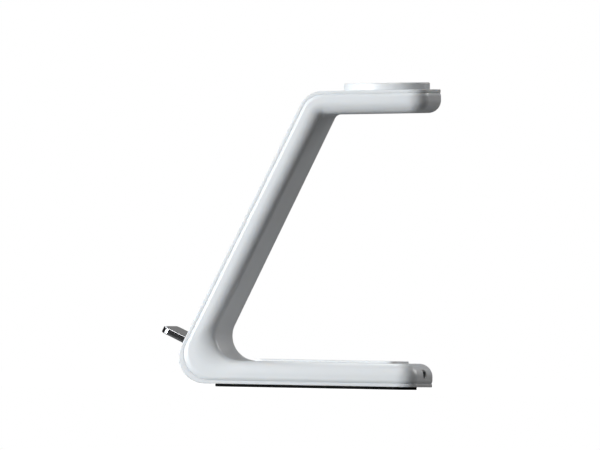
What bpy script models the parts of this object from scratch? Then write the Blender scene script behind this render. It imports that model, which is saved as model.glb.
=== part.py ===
"""Three-in-one wireless charging stand.

A flat band is bent into an open Z seen from the side: a base, a column that leans back over it, and an arm on top.
It is moulded as two shells that meet in a groove along the whole edge. The outer cover is the front of the column,
the top of the arm and the underside of the base. The rear housing is a tray behind it. A phone leans on the column
and stands on a metal ledge, a watch lies on the round puck on the arm, and an earbud case lies on the pad on the base.

Metres, +Z up, front at -Y. The origin is the middle of the underside of the foot pad.
"""

import math

import bmesh
import bpy
from mathutils import Matrix, Vector

# Bent band
BASE_LENGTH = 0.1012
ARM_REACH = 0.1031
CROWN_HEIGHT = 0.1240
COLUMN_ANGLE = math.radians(64.7)
ARM_RISE = math.radians(2.0)
BAND_THICKNESS = 0.0099
WIDTH_AT_BASE = 0.0550
WIDTH_AT_CROWN = 0.0475
HEEL_RADIUS = 0.0112
CROWN_RADIUS = 0.0106
INNER_HEEL_RADIUS = 0.0105
INNER_CROWN_RADIUS = 0.0030
END_CORNER_RADIUS = 0.0082
INNER_EDGE_FILLET = 0.0055

# Shells and the groove between them
COVER_THICKNESS = 0.0014
COVER_EDGE_ROUND = 0.00025
HOUSING_WALL = 0.0016
GROOVE_INSET = 0.0004
GROOVE_ROUND_HEIGHT = 0.0015
LIP_HEIGHT = 0.0015
LIP_THICKNESS = 0.0010
GAP = 0.0003

# Foot pad
FOOT_HEEL_MARGIN = 0.0034
FOOT_REAR_MARGIN = 0.0064
FOOT_SIDE_MARGIN = 0.0045
FOOT_CORNER_RADIUS = 0.0050
FOOT_STAND_OUT = 0.0012
FOOT_RECESS_DEPTH = 0.0006

# Earbud pad and its coil
PAD_HEEL_MARGIN = 0.0052
PAD_REAR_MARGIN = 0.0097
PAD_SIDE_MARGIN = 0.0075
PAD_CORNER_RADIUS = 0.0040
PAD_STAND_OUT = 0.0009
PAD_RECESS_DEPTH = 0.0006
PAD_EDGE_ROUND = 0.0003

# Coils and ferrites
COIL_SIDE_MARGIN = 0.00425
COIL_WINDING_WIDTH = 0.0090
COIL_THICKNESS = 0.0012
FERRITE_MARGIN = 0.0005
FERRITE_THICKNESS = 0.0008
COIL_RING_WALL = 0.0008
COIL_RING_HEIGHT = 0.0012
UPPER_COIL_HEIGHT = 0.0780
COIL_RING_CLEARANCE = 0.0008

# Watch puck
PUCK_RADIUS = 0.0181
PUCK_STAND_OUT = 0.0030
PUCK_END_MARGIN = 0.0023
PUCK_EDGE_ROUND = 0.0006
PUCK_FLANGE_WIDTH = 0.0026
PUCK_NECK_WALL = 0.0012
PUCK_NECK_DEPTH = 0.0030
PUCK_SHELF_WIDTH = 0.0010
PUCK_LUG_REACH = 0.0009
PUCK_LUG_WIDTH = 0.0040
PUCK_LUG_COUNT = 3
FACE_THICKNESS = 0.0010
FACE_DISH_DEPTH = 0.0009
FACE_SINK = 0.0002
WATCH_COIL_MARGIN = 0.0012
WATCH_MAGNET_RADIUS = 0.0050

# Phone ledge
LEDGE_HEIGHT = 0.0211
LEDGE_WIDTH = 0.0360
LEDGE_REACH = 0.0117
LEDGE_THICKNESS = 0.0029
LEDGE_CORNER_RADIUS = 0.0030
LEDGE_EDGE_ROUND = 0.0006
TONGUE_INSET = 0.0070
TONGUE_THICKNESS = 0.0014
FLANGE_THICKNESS = 0.0010
FLANGE_HEIGHT = 0.0080
LEDGE_BOSS_HEIGHT = 0.0016
LEDGE_SCREW_INSET = 0.0040

# Screws
SCREW_SHANK_RADIUS = 0.0009
SCREW_HEAD_RADIUS = 0.0018
SCREW_HEAD_HEIGHT = 0.0010
BOSS_RADIUS = 0.0026
CASE_SCREW_SIDE_INSET = 0.0085
CASE_SCREW_FRONT_INSET = 0.0040
CASE_SCREW_REAR_INSET = 0.0112
CASE_SINK_HEIGHT = 0.0016

# Circuit board and charging port
BOARD_SIDE_CLEARANCE = 0.0024
BOARD_LENGTH = 0.0420
BOARD_THICKNESS = 0.0010
BOARD_CORNER_RADIUS = 0.0010
BOARD_END_MARGIN = 0.0036
PORT_RISE = 0.0005
PORT_WIDTH = 0.00894
PORT_HEIGHT = 0.00326
PORT_LENGTH = 0.0073
PORT_WALL = 0.0003
PORT_SINK = 0.0005
TONGUE_PLATE_WIDTH = 0.0067
TONGUE_PLATE_HEIGHT = 0.0007
TONGUE_PLATE_LENGTH = 0.0048
INSULATOR_LENGTH = 0.0015
BOARD_SCREW_INSET = 0.0040
BOARD_SCREW_SIDE_INSET = 0.0040
PART_CLEARANCE = 0.0015
CHIP_SIZE = 0.0070
CHIP_HEIGHT = 0.0009
INDUCTOR_SIZE = 0.0060
INDUCTOR_HEIGHT = 0.0017
CAPACITOR_LENGTH = 0.0032
CAPACITOR_WIDTH = 0.0016
CAPACITOR_HEIGHT = 0.0012

# Leads and the ribs that guide them
LEAD_RADIUS = 0.0006
LEAD_SPACING = 0.0070
LEAD_BOARD_OVERLAP = 0.0030
LEAD_STEP_LENGTH = 0.0060
LEAD_SLACK = 0.0015
LEAD_COIL_TURN_IN = 0.0080
RIB_THICKNESS = 0.0010
RIB_HEIGHT = 0.0020
RIB_LENGTH = 0.0700

# Facets
CORNER_STEPS = 5
HEEL_STEPS = 10
CROWN_STEPS = 7
FILLET_STEPS = 5
LEAD_COLUMN_STEPS = 6
ROUND_STEPS = 40
SMALL_ROUND_STEPS = 20
SCREW_STEPS = 16
BOWL_STEPS = 5
EDGE_STEPS = 3
SMOOTH_UP_TO = math.radians(35)
SQUARE_FROM = math.radians(60)
NEARLY = 1e-6
CUT_OVERRUN = 0.0010


def direction(angle):
    """Unit vector in the side plane, at an angle up from +Y."""
    return Vector((0.0, math.cos(angle), math.sin(angle)))


UNDERSIDE = FOOT_STAND_OUT
FOOT_LENGTH = BASE_LENGTH - HEEL_RADIUS - FOOT_HEEL_MARGIN - FOOT_REAR_MARGIN
FOOT_WIDTH = WIDTH_AT_BASE - 2 * FOOT_SIDE_MARGIN
REAR_END = FOOT_LENGTH / 2 + FOOT_REAR_MARGIN
HEEL_FRONT = REAR_END - BASE_LENGTH
BASE_OUT = -direction(math.pi / 2)
COLUMN_UP = direction(COLUMN_ANGLE)
COLUMN_OUT = direction(COLUMN_ANGLE + math.pi / 2)
ARM_ALONG = direction(ARM_RISE)
ARM_OUT = direction(ARM_RISE + math.pi / 2)


def mitre(first, second):
    """Step from the corner of two faces, for one unit of depth under both."""
    return (first + second) / (1.0 + first.dot(second))


HEEL_MITRE = mitre(BASE_OUT, COLUMN_OUT)
CROWN_MITRE = mitre(COLUMN_OUT, ARM_OUT)
HEEL_CENTRE = Vector((0.0, HEEL_FRONT + HEEL_RADIUS, UNDERSIDE + HEEL_RADIUS))
HEEL_CORNER = HEEL_CENTRE + HEEL_MITRE * HEEL_RADIUS
CROWN_CORNER = HEEL_CORNER + COLUMN_UP * (CROWN_HEIGHT / math.sin(COLUMN_ANGLE))
ARM_LENGTH = (HEEL_FRONT + ARM_REACH - CROWN_CORNER.y) / math.cos(ARM_RISE)

COLUMN_LENGTH = CROWN_HEIGHT / math.sin(COLUMN_ANGLE) - LEDGE_HEIGHT
INNER_HEEL_END = (HEEL_CORNER - HEEL_MITRE * (BAND_THICKNESS + INNER_HEEL_RADIUS)).y

CAVITY_DEPTH = BAND_THICKNESS - HOUSING_WALL
RIM_DEPTH = COVER_THICKNESS + GAP
PAD_LENGTH = REAR_END - PAD_REAR_MARGIN - INNER_HEEL_END - PAD_HEEL_MARGIN
PAD_WIDTH = WIDTH_AT_BASE - 2 * PAD_SIDE_MARGIN
PAD_CENTRE = REAR_END - PAD_REAR_MARGIN - PAD_LENGTH / 2
PUCK_PLACE = ARM_LENGTH - PUCK_END_MARGIN - PUCK_RADIUS
PUCK_NECK_RADIUS = PUCK_RADIUS - PUCK_FLANGE_WIDTH
COIL_RADIUS = min(WIDTH_AT_BASE, WIDTH_AT_CROWN) / 2 - COIL_SIDE_MARGIN
COIL_BORE_RADIUS = COIL_RADIUS - COIL_WINDING_WIDTH
LOWER_COIL_HEIGHT = UPPER_COIL_HEIGHT - 2 * (COIL_RADIUS + GAP + COIL_RING_WALL) - COIL_RING_CLEARANCE
CASE_SCREW_SPACING = WIDTH_AT_BASE - 2 * CASE_SCREW_SIDE_INSET
BOARD_WIDTH = CASE_SCREW_SPACING - 2 * (BOSS_RADIUS + BOARD_SIDE_CLEARANCE)
BOARD_SCREW_SPACING = BOARD_WIDTH - 2 * BOARD_SCREW_SIDE_INSET
TONGUE_WIDTH = LEDGE_WIDTH - 2 * TONGUE_INSET
LEDGE_SCREW_SPACING = TONGUE_WIDTH - 2 * LEDGE_SCREW_INSET
PORT_DEPTH = (COVER_THICKNESS + CAVITY_DEPTH) / 2 + PORT_RISE


def base_point(y, depth):
    """Point of the base at a depth above its underside."""
    return Vector((0.0, y, UNDERSIDE + depth))


def column_point(height, depth):
    """Point of the column at a height above the ledge's top and a depth behind its front."""
    return HEEL_CORNER + COLUMN_UP * (LEDGE_HEIGHT + height) - COLUMN_OUT * depth


def arm_point(along, depth):
    """Point of the arm at a distance from the crown and a depth under its top."""
    return CROWN_CORNER + ARM_ALONG * along - ARM_OUT * depth


def half_width(z):
    """Half the width of the band, which narrows evenly with height."""
    share = (z - UNDERSIDE) / CROWN_HEIGHT
    return (WIDTH_AT_BASE + (WIDTH_AT_CROWN - WIDTH_AT_BASE) * share) / 2


def bend_points(corner, step, radii, angles, steps, depth):
    """Arc of a bend at a depth. Its radius and centre pass evenly from the outer face's bend to the inner face's."""
    share = depth / BAND_THICKNESS
    radius = radii[0] + (radii[1] - radii[0]) * share
    centre = corner - step * (radius + depth)
    turn = (angles[1] - angles[0]) / steps
    return [centre + direction(angles[0] + turn * i) * radius for i in range(steps + 1)]


def heel_points(depth):
    """Arc of the heel, from the base to the column."""
    angles = (1.5 * math.pi, COLUMN_ANGLE + math.pi / 2)
    return bend_points(HEEL_CORNER, HEEL_MITRE, (HEEL_RADIUS, INNER_HEEL_RADIUS), angles, HEEL_STEPS, depth)


def crown_points(depth):
    """Arc of the crown, from the column to the arm."""
    angles = (COLUMN_ANGLE + math.pi / 2, ARM_RISE + math.pi / 2)
    return bend_points(CROWN_CORNER, CROWN_MITRE, (CROWN_RADIUS, INNER_CROWN_RADIUS), angles, CROWN_STEPS, depth)


def perimeter(inset, depth):
    """Closed loop round the band at a depth under its outer face, moved in from its edge by an inset."""
    reach = END_CORNER_RADIUS - inset
    corner = []
    for i in range(CORNER_STEPS + 1):
        angle = 0.5 * math.pi * i / CORNER_STEPS
        corner.append((END_CORNER_RADIUS - reach * math.cos(angle), END_CORNER_RADIUS - reach * math.sin(angle)))
    side = []
    for from_end, from_side in corner:
        side.append((base_point(REAR_END - from_end, depth), from_side))
    side += [(point, inset) for point in heel_points(depth) + crown_points(depth)]
    for from_end, from_side in reversed(corner):
        side.append((arm_point(ARM_LENGTH - from_end, depth), from_side))
    near = [Vector((half_width(point.z) - from_side, point.y, point.z)) for point, from_side in side]
    far = [Vector((-point.x, point.y, point.z)) for point in reversed(near)]
    return near + far


def quarter_round(inset, depth, wide, high, steps):
    """Points of a quarter of an ellipse, from its flat side at (inset + wide, depth) to its upright one."""
    points = []
    for i in range(steps + 1):
        angle = 0.5 * math.pi * i / steps
        points.append((inset + wide * (1.0 - math.sin(angle)), depth + high * (1.0 - math.cos(angle))))
    return points


def plain_look(name, colour, roughness, metallic=0.0):
    """Material with one plain colour."""
    found = bpy.data.materials.get(name)
    if found:
        return found
    made = bpy.data.materials.new(name)
    made.use_nodes = True
    shader = made.node_tree.nodes["Principled BSDF"]
    shader.inputs["Base Color"].default_value = (*colour, 1.0)
    shader.inputs["Roughness"].default_value = roughness
    shader.inputs["Metallic"].default_value = metallic
    made.diffuse_color = (*colour, 1.0)
    return made


def white_plastic():
    return plain_look("white_plastic", (0.82, 0.83, 0.85), 0.35)


def white_soft_plastic():
    return plain_look("white_soft_plastic", (0.86, 0.87, 0.88), 0.5)


def polished_metal():
    return plain_look("polished_metal", (0.80, 0.80, 0.81), 0.12, 1.0)


def steel():
    return plain_look("steel", (0.55, 0.55, 0.57), 0.3, 1.0)


def copper():
    return plain_look("copper_wire", (0.72, 0.36, 0.18), 0.35, 1.0)


def ferrite():
    return plain_look("ferrite", (0.07, 0.07, 0.08), 0.6)


def black_rubber():
    return plain_look("black_rubber", (0.02, 0.02, 0.02), 0.8)


def green_laminate():
    return plain_look("green_laminate", (0.03, 0.22, 0.10), 0.45)


def black_moulding():
    return plain_look("black_moulding", (0.03, 0.03, 0.03), 0.5)


def finish(name, bm, look, frame=None, place=(0.0, 0.0, 0.0)):
    """Turns a bmesh into a named object, which may hang from a frame."""
    bmesh.ops.recalc_face_normals(bm, faces=bm.faces)
    mesh = bpy.data.meshes.new(name)
    bm.to_mesh(mesh)
    bm.free()
    mesh.shade_smooth()
    mesh.set_sharp_from_angle(angle=SMOOTH_UP_TO)
    mesh.materials.append(look)
    made = bpy.data.objects.new(name, mesh)
    bpy.context.collection.objects.link(made)
    made.parent = frame
    made.location = place
    return made


def combine(target, tool, operation):
    """Cuts a tool from a target or fuses it on, and leaves the tool as a guide."""
    change = target.modifiers.new(tool.name, "BOOLEAN")
    change.operation = operation
    change.solver = "EXACT"
    change.object = tool
    tool.hide_render = True
    tool.display_type = "WIRE"


def cut(target, tool):
    combine(target, tool, "DIFFERENCE")


def fuse(target, tool):
    combine(target, tool, "UNION")


def bent_body(name, section, look):
    """Sweeps a section, given as insets and depths, round the edge of the bent band and closes both faces."""
    bm = bmesh.new()
    rings = [[bm.verts.new(point) for point in perimeter(inset, depth)] for inset, depth in section]
    for low, high in zip(rings, rings[1:]):
        for i in range(len(low)):
            bm.faces.new((low[i - 1], low[i], high[i], high[i - 1]))
    for ring in (rings[0], rings[-1]):
        half = len(ring) // 2
        near = ring[:half]
        far = ring[half:][::-1]
        for i in range(half - 1):
            bm.faces.new((near[i], near[i + 1], far[i + 1], far[i]))
    return finish(name, bm, look)


def turned(name, profile, look, frame=None, place=(0.0, 0.0, 0.0), steps=ROUND_STEPS):
    """Turns a closed profile of (radius, height) points about Z."""
    bm = bmesh.new()
    verts = [bm.verts.new((radius, 0.0, height)) for radius, height in profile]
    edges = [bm.edges.new((verts[i - 1], verts[i])) for i in range(len(verts))]
    bmesh.ops.spin(bm, geom=edges, cent=(0, 0, 0), axis=(0, 0, 1), angle=2 * math.pi, steps=steps, use_merge=True)
    bmesh.ops.remove_doubles(bm, verts=bm.verts, dist=NEARLY)
    flat = [edge for edge in bm.edges if not edge.link_faces]
    bmesh.ops.delete(bm, geom=flat, context="EDGES")
    return finish(name, bm, look, frame, place)


def disc(name, radius, low, high, look, frame=None, place=(0.0, 0.0, 0.0), steps=SMALL_ROUND_STEPS):
    """Round bar between two heights."""
    bm = bmesh.new()
    shift = Matrix.Translation((0.0, 0.0, (low + high) / 2))
    bmesh.ops.create_cone(
        bm, cap_ends=True, segments=steps, radius1=radius, radius2=radius, depth=high - low, matrix=shift
    )
    return finish(name, bm, look, frame, place)


def ring(name, bore, radius, low, high, look, frame=None, place=(0.0, 0.0, 0.0)):
    """Flat ring between two heights."""
    profile = [(bore, low), (radius, low), (radius, high), (bore, high)]
    return turned(name, profile, look, frame, place)


def block(name, low, high, look, frame=None, corner=0.0, corner_steps=4, top_round=0.0):
    """Box between two corners, with its four upright edges rounded, and its top edge too where asked."""
    bm = bmesh.new()
    size = [high[i] - low[i] for i in range(3)]
    middle = [(high[i] + low[i]) / 2 for i in range(3)]
    bmesh.ops.create_cube(bm, size=1.0, matrix=Matrix.Translation(middle) @ Matrix.Diagonal((*size, 1.0)))
    if corner:
        upright = [edge for edge in bm.edges if edge.verts[0].co.xy == edge.verts[1].co.xy]
        bmesh.ops.bevel(bm, geom=upright, offset=corner, segments=corner_steps, profile=0.5, affect="EDGES")
    if top_round:
        top = high[2] - NEARLY
        rim = [edge for edge in bm.edges if min(vert.co.z for vert in edge.verts) > top]
        bmesh.ops.bevel(bm, geom=rim, offset=top_round, segments=2, profile=0.5, affect="EDGES")
    return finish(name, bm, look, frame)


def stadium(name, width, height, front, back, look, frame):
    """Bar with a long round-ended section, which runs along Y."""
    bm = bmesh.new()
    radius = height / 2
    reach = width / 2 - radius
    outline = []
    for side in (1, -1):
        for i in range(SMALL_ROUND_STEPS // 2 + 1):
            angle = math.pi * (i / (SMALL_ROUND_STEPS // 2) - 0.5)
            outline.append((side * (reach + radius * math.cos(angle)), front, side * radius * math.sin(angle)))
    face = bm.faces.new([bm.verts.new(point) for point in outline])
    moved = bmesh.ops.extrude_face_region(bm, geom=[face])["geom"]
    verts = [item for item in moved if isinstance(item, bmesh.types.BMVert)]
    bmesh.ops.translate(bm, verts=verts, vec=(0.0, back - front, 0.0))
    return finish(name, bm, look, frame)


def frame_at(name, place, angle):
    """Empty whose Y runs along a face of the band and whose Z stands out of it."""
    empty = bpy.data.objects.new(name, None)
    bpy.context.collection.objects.link(empty)
    empty.location = place
    empty.rotation_euler = (angle, 0.0, 0.0)
    return empty


def outer_cover():
    """Bent plate with a round edge and a lip that fits inside the housing's wall."""
    lip_out = HOUSING_WALL + GAP
    lip_in = lip_out + LIP_THICKNESS
    lip_end = COVER_THICKNESS + LIP_HEIGHT
    section = quarter_round(0.0, 0.0, COVER_EDGE_ROUND, COVER_EDGE_ROUND, 2)
    section += [(0.0, COVER_THICKNESS - COVER_EDGE_ROUND), (COVER_EDGE_ROUND, COVER_THICKNESS)]
    section += [(lip_out, COVER_THICKNESS), (lip_out, lip_end), (lip_in, lip_end), (lip_in, COVER_THICKNESS)]
    return bent_body("outer_cover", section, white_plastic())


def rear_housing():
    """Bent tray with a rounded groove edge, a large fillet round its back and an even wall."""
    cavity_fillet = INNER_EDGE_FILLET - HOUSING_WALL
    section = []
    for i in range(FILLET_STEPS):
        angle = 0.5 * math.pi * (1.0 - i / FILLET_STEPS)
        inset = HOUSING_WALL + cavity_fillet * (1.0 - math.cos(angle))
        section.append((inset, BAND_THICKNESS - INNER_EDGE_FILLET + cavity_fillet * math.sin(angle)))
    section += [(HOUSING_WALL, BAND_THICKNESS - INNER_EDGE_FILLET), (HOUSING_WALL, RIM_DEPTH)]
    section += quarter_round(0.0, RIM_DEPTH, GROOVE_INSET, GROOVE_ROUND_HEIGHT, 3)
    for i in range(FILLET_STEPS + 1):
        angle = 0.5 * math.pi * i / FILLET_STEPS
        inset = INNER_EDGE_FILLET * (1.0 - math.cos(angle))
        section.append((inset, BAND_THICKNESS - INNER_EDGE_FILLET * (1.0 - math.sin(angle))))
    return bent_body("rear_housing", section, white_plastic())


def foot_pad(cover):
    """Pad that stands in a shallow recess of the cover."""
    half_long = FOOT_LENGTH / 2
    half_wide = FOOT_WIDTH / 2
    top = UNDERSIDE + FOOT_RECESS_DEPTH
    block(
        "foot_pad", (-half_wide, -half_long, 0.0), (half_wide, half_long, top - GAP), black_rubber(),
        corner=FOOT_CORNER_RADIUS,
    )
    recess = block(
        "foot_recess", (-half_wide - GAP, -half_long - GAP, UNDERSIDE - CUT_OVERRUN),
        (half_wide + GAP, half_long + GAP, top), white_plastic(), corner=FOOT_CORNER_RADIUS + GAP,
    )
    cut(cover, recess)


def earbud_pad(housing):
    """Low pad bonded into a recess in the top of the base, with a coil and a ferrite under the wall."""
    half_wide = PAD_WIDTH / 2
    half_long = PAD_LENGTH / 2
    top = BAND_THICKNESS
    floor = top - PAD_RECESS_DEPTH
    block(
        "earbud_pad", (-half_wide, PAD_CENTRE - half_long, UNDERSIDE + floor + GAP),
        (half_wide, PAD_CENTRE + half_long, UNDERSIDE + top + PAD_STAND_OUT), white_soft_plastic(),
        corner=PAD_CORNER_RADIUS, top_round=PAD_EDGE_ROUND,
    )
    recess = block(
        "earbud_recess", (-half_wide - GAP, PAD_CENTRE - half_long - GAP, UNDERSIDE + floor),
        (half_wide + GAP, PAD_CENTRE + half_long + GAP, UNDERSIDE + top + CUT_OVERRUN), white_plastic(),
        corner=PAD_CORNER_RADIUS + GAP,
    )
    cut(housing, recess)
    centre = base_point(PAD_CENTRE, 0.0)
    coil_top = CAVITY_DEPTH - GAP
    ferrite_top = coil_top - COIL_THICKNESS - GAP
    ring("earbud_coil", COIL_BORE_RADIUS, COIL_RADIUS, coil_top - COIL_THICKNESS, coil_top, copper(), None, centre)
    disc(
        "earbud_ferrite", COIL_RADIUS + FERRITE_MARGIN, ferrite_top - FERRITE_THICKNESS, ferrite_top, ferrite(),
        None, centre, ROUND_STEPS,
    )
    bore = COIL_RADIUS + GAP
    wall = ring(
        "earbud_coil_ring", bore, bore + COIL_RING_WALL, CAVITY_DEPTH - COIL_RING_HEIGHT, CAVITY_DEPTH + GAP,
        white_plastic(), None, centre,
    )
    fuse(housing, wall)


def phone_coil(name, height, cover, column):
    """Coil and ferrite behind the column's front, in a moulded ring of the cover."""
    place = (0.0, height, 0.0)
    front = -COVER_THICKNESS - GAP
    back = front - COIL_THICKNESS
    ring("phone_coil_" + name, COIL_BORE_RADIUS, COIL_RADIUS, back, front, copper(), column, place)
    disc(
        "phone_ferrite_" + name, COIL_RADIUS + FERRITE_MARGIN, back - GAP - FERRITE_THICKNESS, back - GAP, ferrite(),
        column, place, ROUND_STEPS,
    )
    bore = COIL_RADIUS + GAP
    wall = ring(
        "phone_ring_" + name, bore, bore + COIL_RING_WALL, -COVER_THICKNESS - COIL_RING_HEIGHT,
        -COVER_THICKNESS + GAP, white_plastic(), column, place,
    )
    fuse(cover, wall)


def watch_puck(cover, arm):
    """Round puck whose neck snaps into a hole in the cover, with a dished face over a coil and a magnet."""
    neck_bore = PUCK_NECK_RADIUS - PUCK_NECK_WALL
    seat = PUCK_NECK_RADIUS - PUCK_NECK_WALL + PUCK_SHELF_WIDTH
    face_edge = PUCK_STAND_OUT - FACE_SINK
    shelf = face_edge - FACE_THICKNESS - GAP
    profile = [(neck_bore, -PUCK_NECK_DEPTH), (PUCK_NECK_RADIUS, -PUCK_NECK_DEPTH), (PUCK_NECK_RADIUS, GAP)]
    profile += [(PUCK_RADIUS, GAP)]
    for i in range(EDGE_STEPS + 1):
        angle = 0.5 * math.pi * i / EDGE_STEPS
        across = PUCK_RADIUS - PUCK_EDGE_ROUND * (1.0 - math.cos(angle))
        profile.append((across, PUCK_STAND_OUT - PUCK_EDGE_ROUND * (1.0 - math.sin(angle))))
    profile += [(seat, PUCK_STAND_OUT), (seat, shelf), (neck_bore, shelf)]
    housing = turned("watch_puck_housing", profile, white_plastic(), arm)
    for i in range(PUCK_LUG_COUNT):
        lug = block(
            f"puck_lug_{i + 1}", (PUCK_NECK_RADIUS - GAP, -PUCK_LUG_WIDTH / 2, -PUCK_NECK_DEPTH),
            (PUCK_NECK_RADIUS + PUCK_LUG_REACH, PUCK_LUG_WIDTH / 2, -COVER_THICKNESS - GAP), white_plastic(), arm,
        )
        lug.rotation_euler = (0.0, 0.0, 2 * math.pi * i / PUCK_LUG_COUNT + math.pi / 2)
        fuse(housing, lug)
    hole = disc(
        "puck_hole", PUCK_NECK_RADIUS + GAP, -COVER_THICKNESS - CUT_OVERRUN, CUT_OVERRUN, white_plastic(), arm,
        steps=ROUND_STEPS,
    )
    cut(cover, hole)

    face_radius = seat - GAP
    bowl = []
    for i in range(BOWL_STEPS + 1):
        share = i / BOWL_STEPS
        bowl.append((face_radius * share, face_edge - FACE_DISH_DEPTH * (1.0 - share**2)))
    under = [(radius, height - FACE_THICKNESS) for radius, height in reversed(bowl)]
    turned("watch_puck_face", bowl + under, white_soft_plastic(), arm)

    coil_top = face_edge - FACE_DISH_DEPTH - FACE_THICKNESS - GAP
    coil_low = coil_top - COIL_THICKNESS
    coil_radius = neck_bore - WATCH_COIL_MARGIN
    coil_bore = WATCH_MAGNET_RADIUS + GAP
    ferrite_top = coil_low - GAP
    ring("watch_coil", coil_bore, coil_radius, coil_low, coil_top, copper(), arm)
    disc("watch_magnet", WATCH_MAGNET_RADIUS, coil_low, coil_top, steel(), arm)
    disc(
        "watch_ferrite", neck_bore - GAP, ferrite_top - FERRITE_THICKNESS, ferrite_top, ferrite(), arm,
        steps=ROUND_STEPS,
    )


def screw(name, seat, head_side, length, frame, place):
    """Pan head on a plain shank. The head stands on the seat, on the side given as 1 or -1 along Z."""
    head_end = seat + head_side * SCREW_HEAD_HEIGHT
    tip = seat - head_side * length
    profile = [
        (0.0, tip),
        (SCREW_SHANK_RADIUS, tip),
        (SCREW_SHANK_RADIUS, seat),
        (SCREW_HEAD_RADIUS, seat),
        (SCREW_HEAD_RADIUS, head_end),
        (0.0, head_end),
    ]
    return turned(name, profile, steel(), frame, place, SCREW_STEPS)


def phone_ledge(cover, column):
    """Metal bar square to the column, with a tongue through the cover and a flange screwed to two bosses inside."""
    half = LEDGE_WIDTH / 2
    bar = block(
        "phone_ledge", (-half, -LEDGE_THICKNESS, GAP), (half, 0.0, LEDGE_REACH), polished_metal(), column,
    )
    round_ledge(bar)
    flange_front = -COVER_THICKNESS - LEDGE_BOSS_HEIGHT - GAP
    flange_back = flange_front - FLANGE_THICKNESS
    middle = -LEDGE_THICKNESS / 2
    low = middle - TONGUE_THICKNESS / 2
    high = middle + TONGUE_THICKNESS / 2
    tongue = block(
        "ledge_tongue", (-TONGUE_WIDTH / 2, low, flange_back), (TONGUE_WIDTH / 2, high, GAP + LEDGE_EDGE_ROUND * 2),
        polished_metal(), column,
    )
    flange = block(
        "ledge_flange", (-TONGUE_WIDTH / 2, low, flange_back), (TONGUE_WIDTH / 2, low + FLANGE_HEIGHT, flange_front),
        polished_metal(), column,
    )
    slot = block(
        "ledge_slot", (-TONGUE_WIDTH / 2 - GAP, low - GAP, -COVER_THICKNESS - CUT_OVERRUN),
        (TONGUE_WIDTH / 2 + GAP, high + GAP, CUT_OVERRUN), white_plastic(), column,
    )
    fuse(bar, tongue)
    fuse(bar, flange)
    cut(cover, slot)
    screw_height = (high + GAP + low + FLANGE_HEIGHT) / 2
    for side, word in ((1, "right"), (-1, "left")):
        place = (side * LEDGE_SCREW_SPACING / 2, screw_height, 0.0)
        boss = disc(
            "ledge_boss_" + word, BOSS_RADIUS, -COVER_THICKNESS - LEDGE_BOSS_HEIGHT, -COVER_THICKNESS + GAP,
            white_plastic(), column, place,
        )
        pilot = disc(
            "ledge_pilot_" + word, SCREW_SHANK_RADIUS + GAP, flange_back - CUT_OVERRUN, -COVER_THICKNESS,
            white_plastic(), column, place,
        )
        fuse(cover, boss)
        cut(cover, pilot)
        cut(bar, pilot)
        length = -COVER_THICKNESS - GAP - (flange_back - GAP)
        screw("ledge_screw_" + word, flange_back - GAP, -1, length, column, place)


def round_ledge(bar):
    """Rounds the two outer corners of the bar, then all its edges."""
    bm = bmesh.new()
    bm.from_mesh(bar.data)
    tip = LEDGE_REACH - NEARLY
    corners = [edge for edge in bm.edges if all(vert.co.z > tip for vert in edge.verts)]
    corners = [edge for edge in corners if abs(edge.verts[0].co.x - edge.verts[1].co.x) < NEARLY]
    bmesh.ops.bevel(bm, geom=corners, offset=LEDGE_CORNER_RADIUS, segments=5, profile=0.5, affect="EDGES")
    sharp = [edge for edge in bm.edges if edge.calc_face_angle() > SQUARE_FROM]
    bmesh.ops.bevel(bm, geom=sharp, offset=LEDGE_EDGE_ROUND, segments=3, profile=0.5, affect="EDGES")
    bm.to_mesh(bar.data)
    bm.free()


def case_screws(cover, housing):
    """Four screws under the foot pad that pull the cover's sinks up to the housing's bosses."""
    sink_top = COVER_THICKNESS + CASE_SINK_HEIGHT
    shoulder = FOOT_RECESS_DEPTH + GAP + SCREW_HEAD_HEIGHT + GAP
    pilot_end = CAVITY_DEPTH - GAP
    rows = (("front", INNER_HEEL_END + CASE_SCREW_FRONT_INSET), ("rear", REAR_END - CASE_SCREW_REAR_INSET))
    for row, y in rows:
        for side, word in ((1, "right"), (-1, "left")):
            label = f"{row}_{word}"
            place = (side * CASE_SCREW_SPACING / 2, y, UNDERSIDE)
            sink = disc(
                "case_sink_" + label, BOSS_RADIUS, FOOT_RECESS_DEPTH + GAP, sink_top, white_plastic(), None, place
            )
            hole = disc(
                "case_hole_" + label, SCREW_SHANK_RADIUS + GAP, shoulder - CUT_OVERRUN, sink_top + CUT_OVERRUN,
                white_plastic(), None, place,
            )
            head_room = disc(
                "case_head_room_" + label, SCREW_HEAD_RADIUS + GAP, -CUT_OVERRUN, shoulder, white_plastic(), None,
                place,
            )
            boss = disc(
                "case_boss_" + label, BOSS_RADIUS, sink_top + GAP, CAVITY_DEPTH + GAP, white_plastic(), None, place
            )
            pilot = disc(
                "case_pilot_" + label, SCREW_SHANK_RADIUS + GAP, sink_top - CUT_OVERRUN, pilot_end, white_plastic(),
                None, place,
            )
            fuse(cover, sink)
            cut(cover, head_room)
            cut(cover, hole)
            fuse(housing, boss)
            cut(housing, pilot)
            seat = shoulder - GAP
            screw("case_screw_" + label, seat, -1, pilot_end - GAP - seat, None, place)


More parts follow.
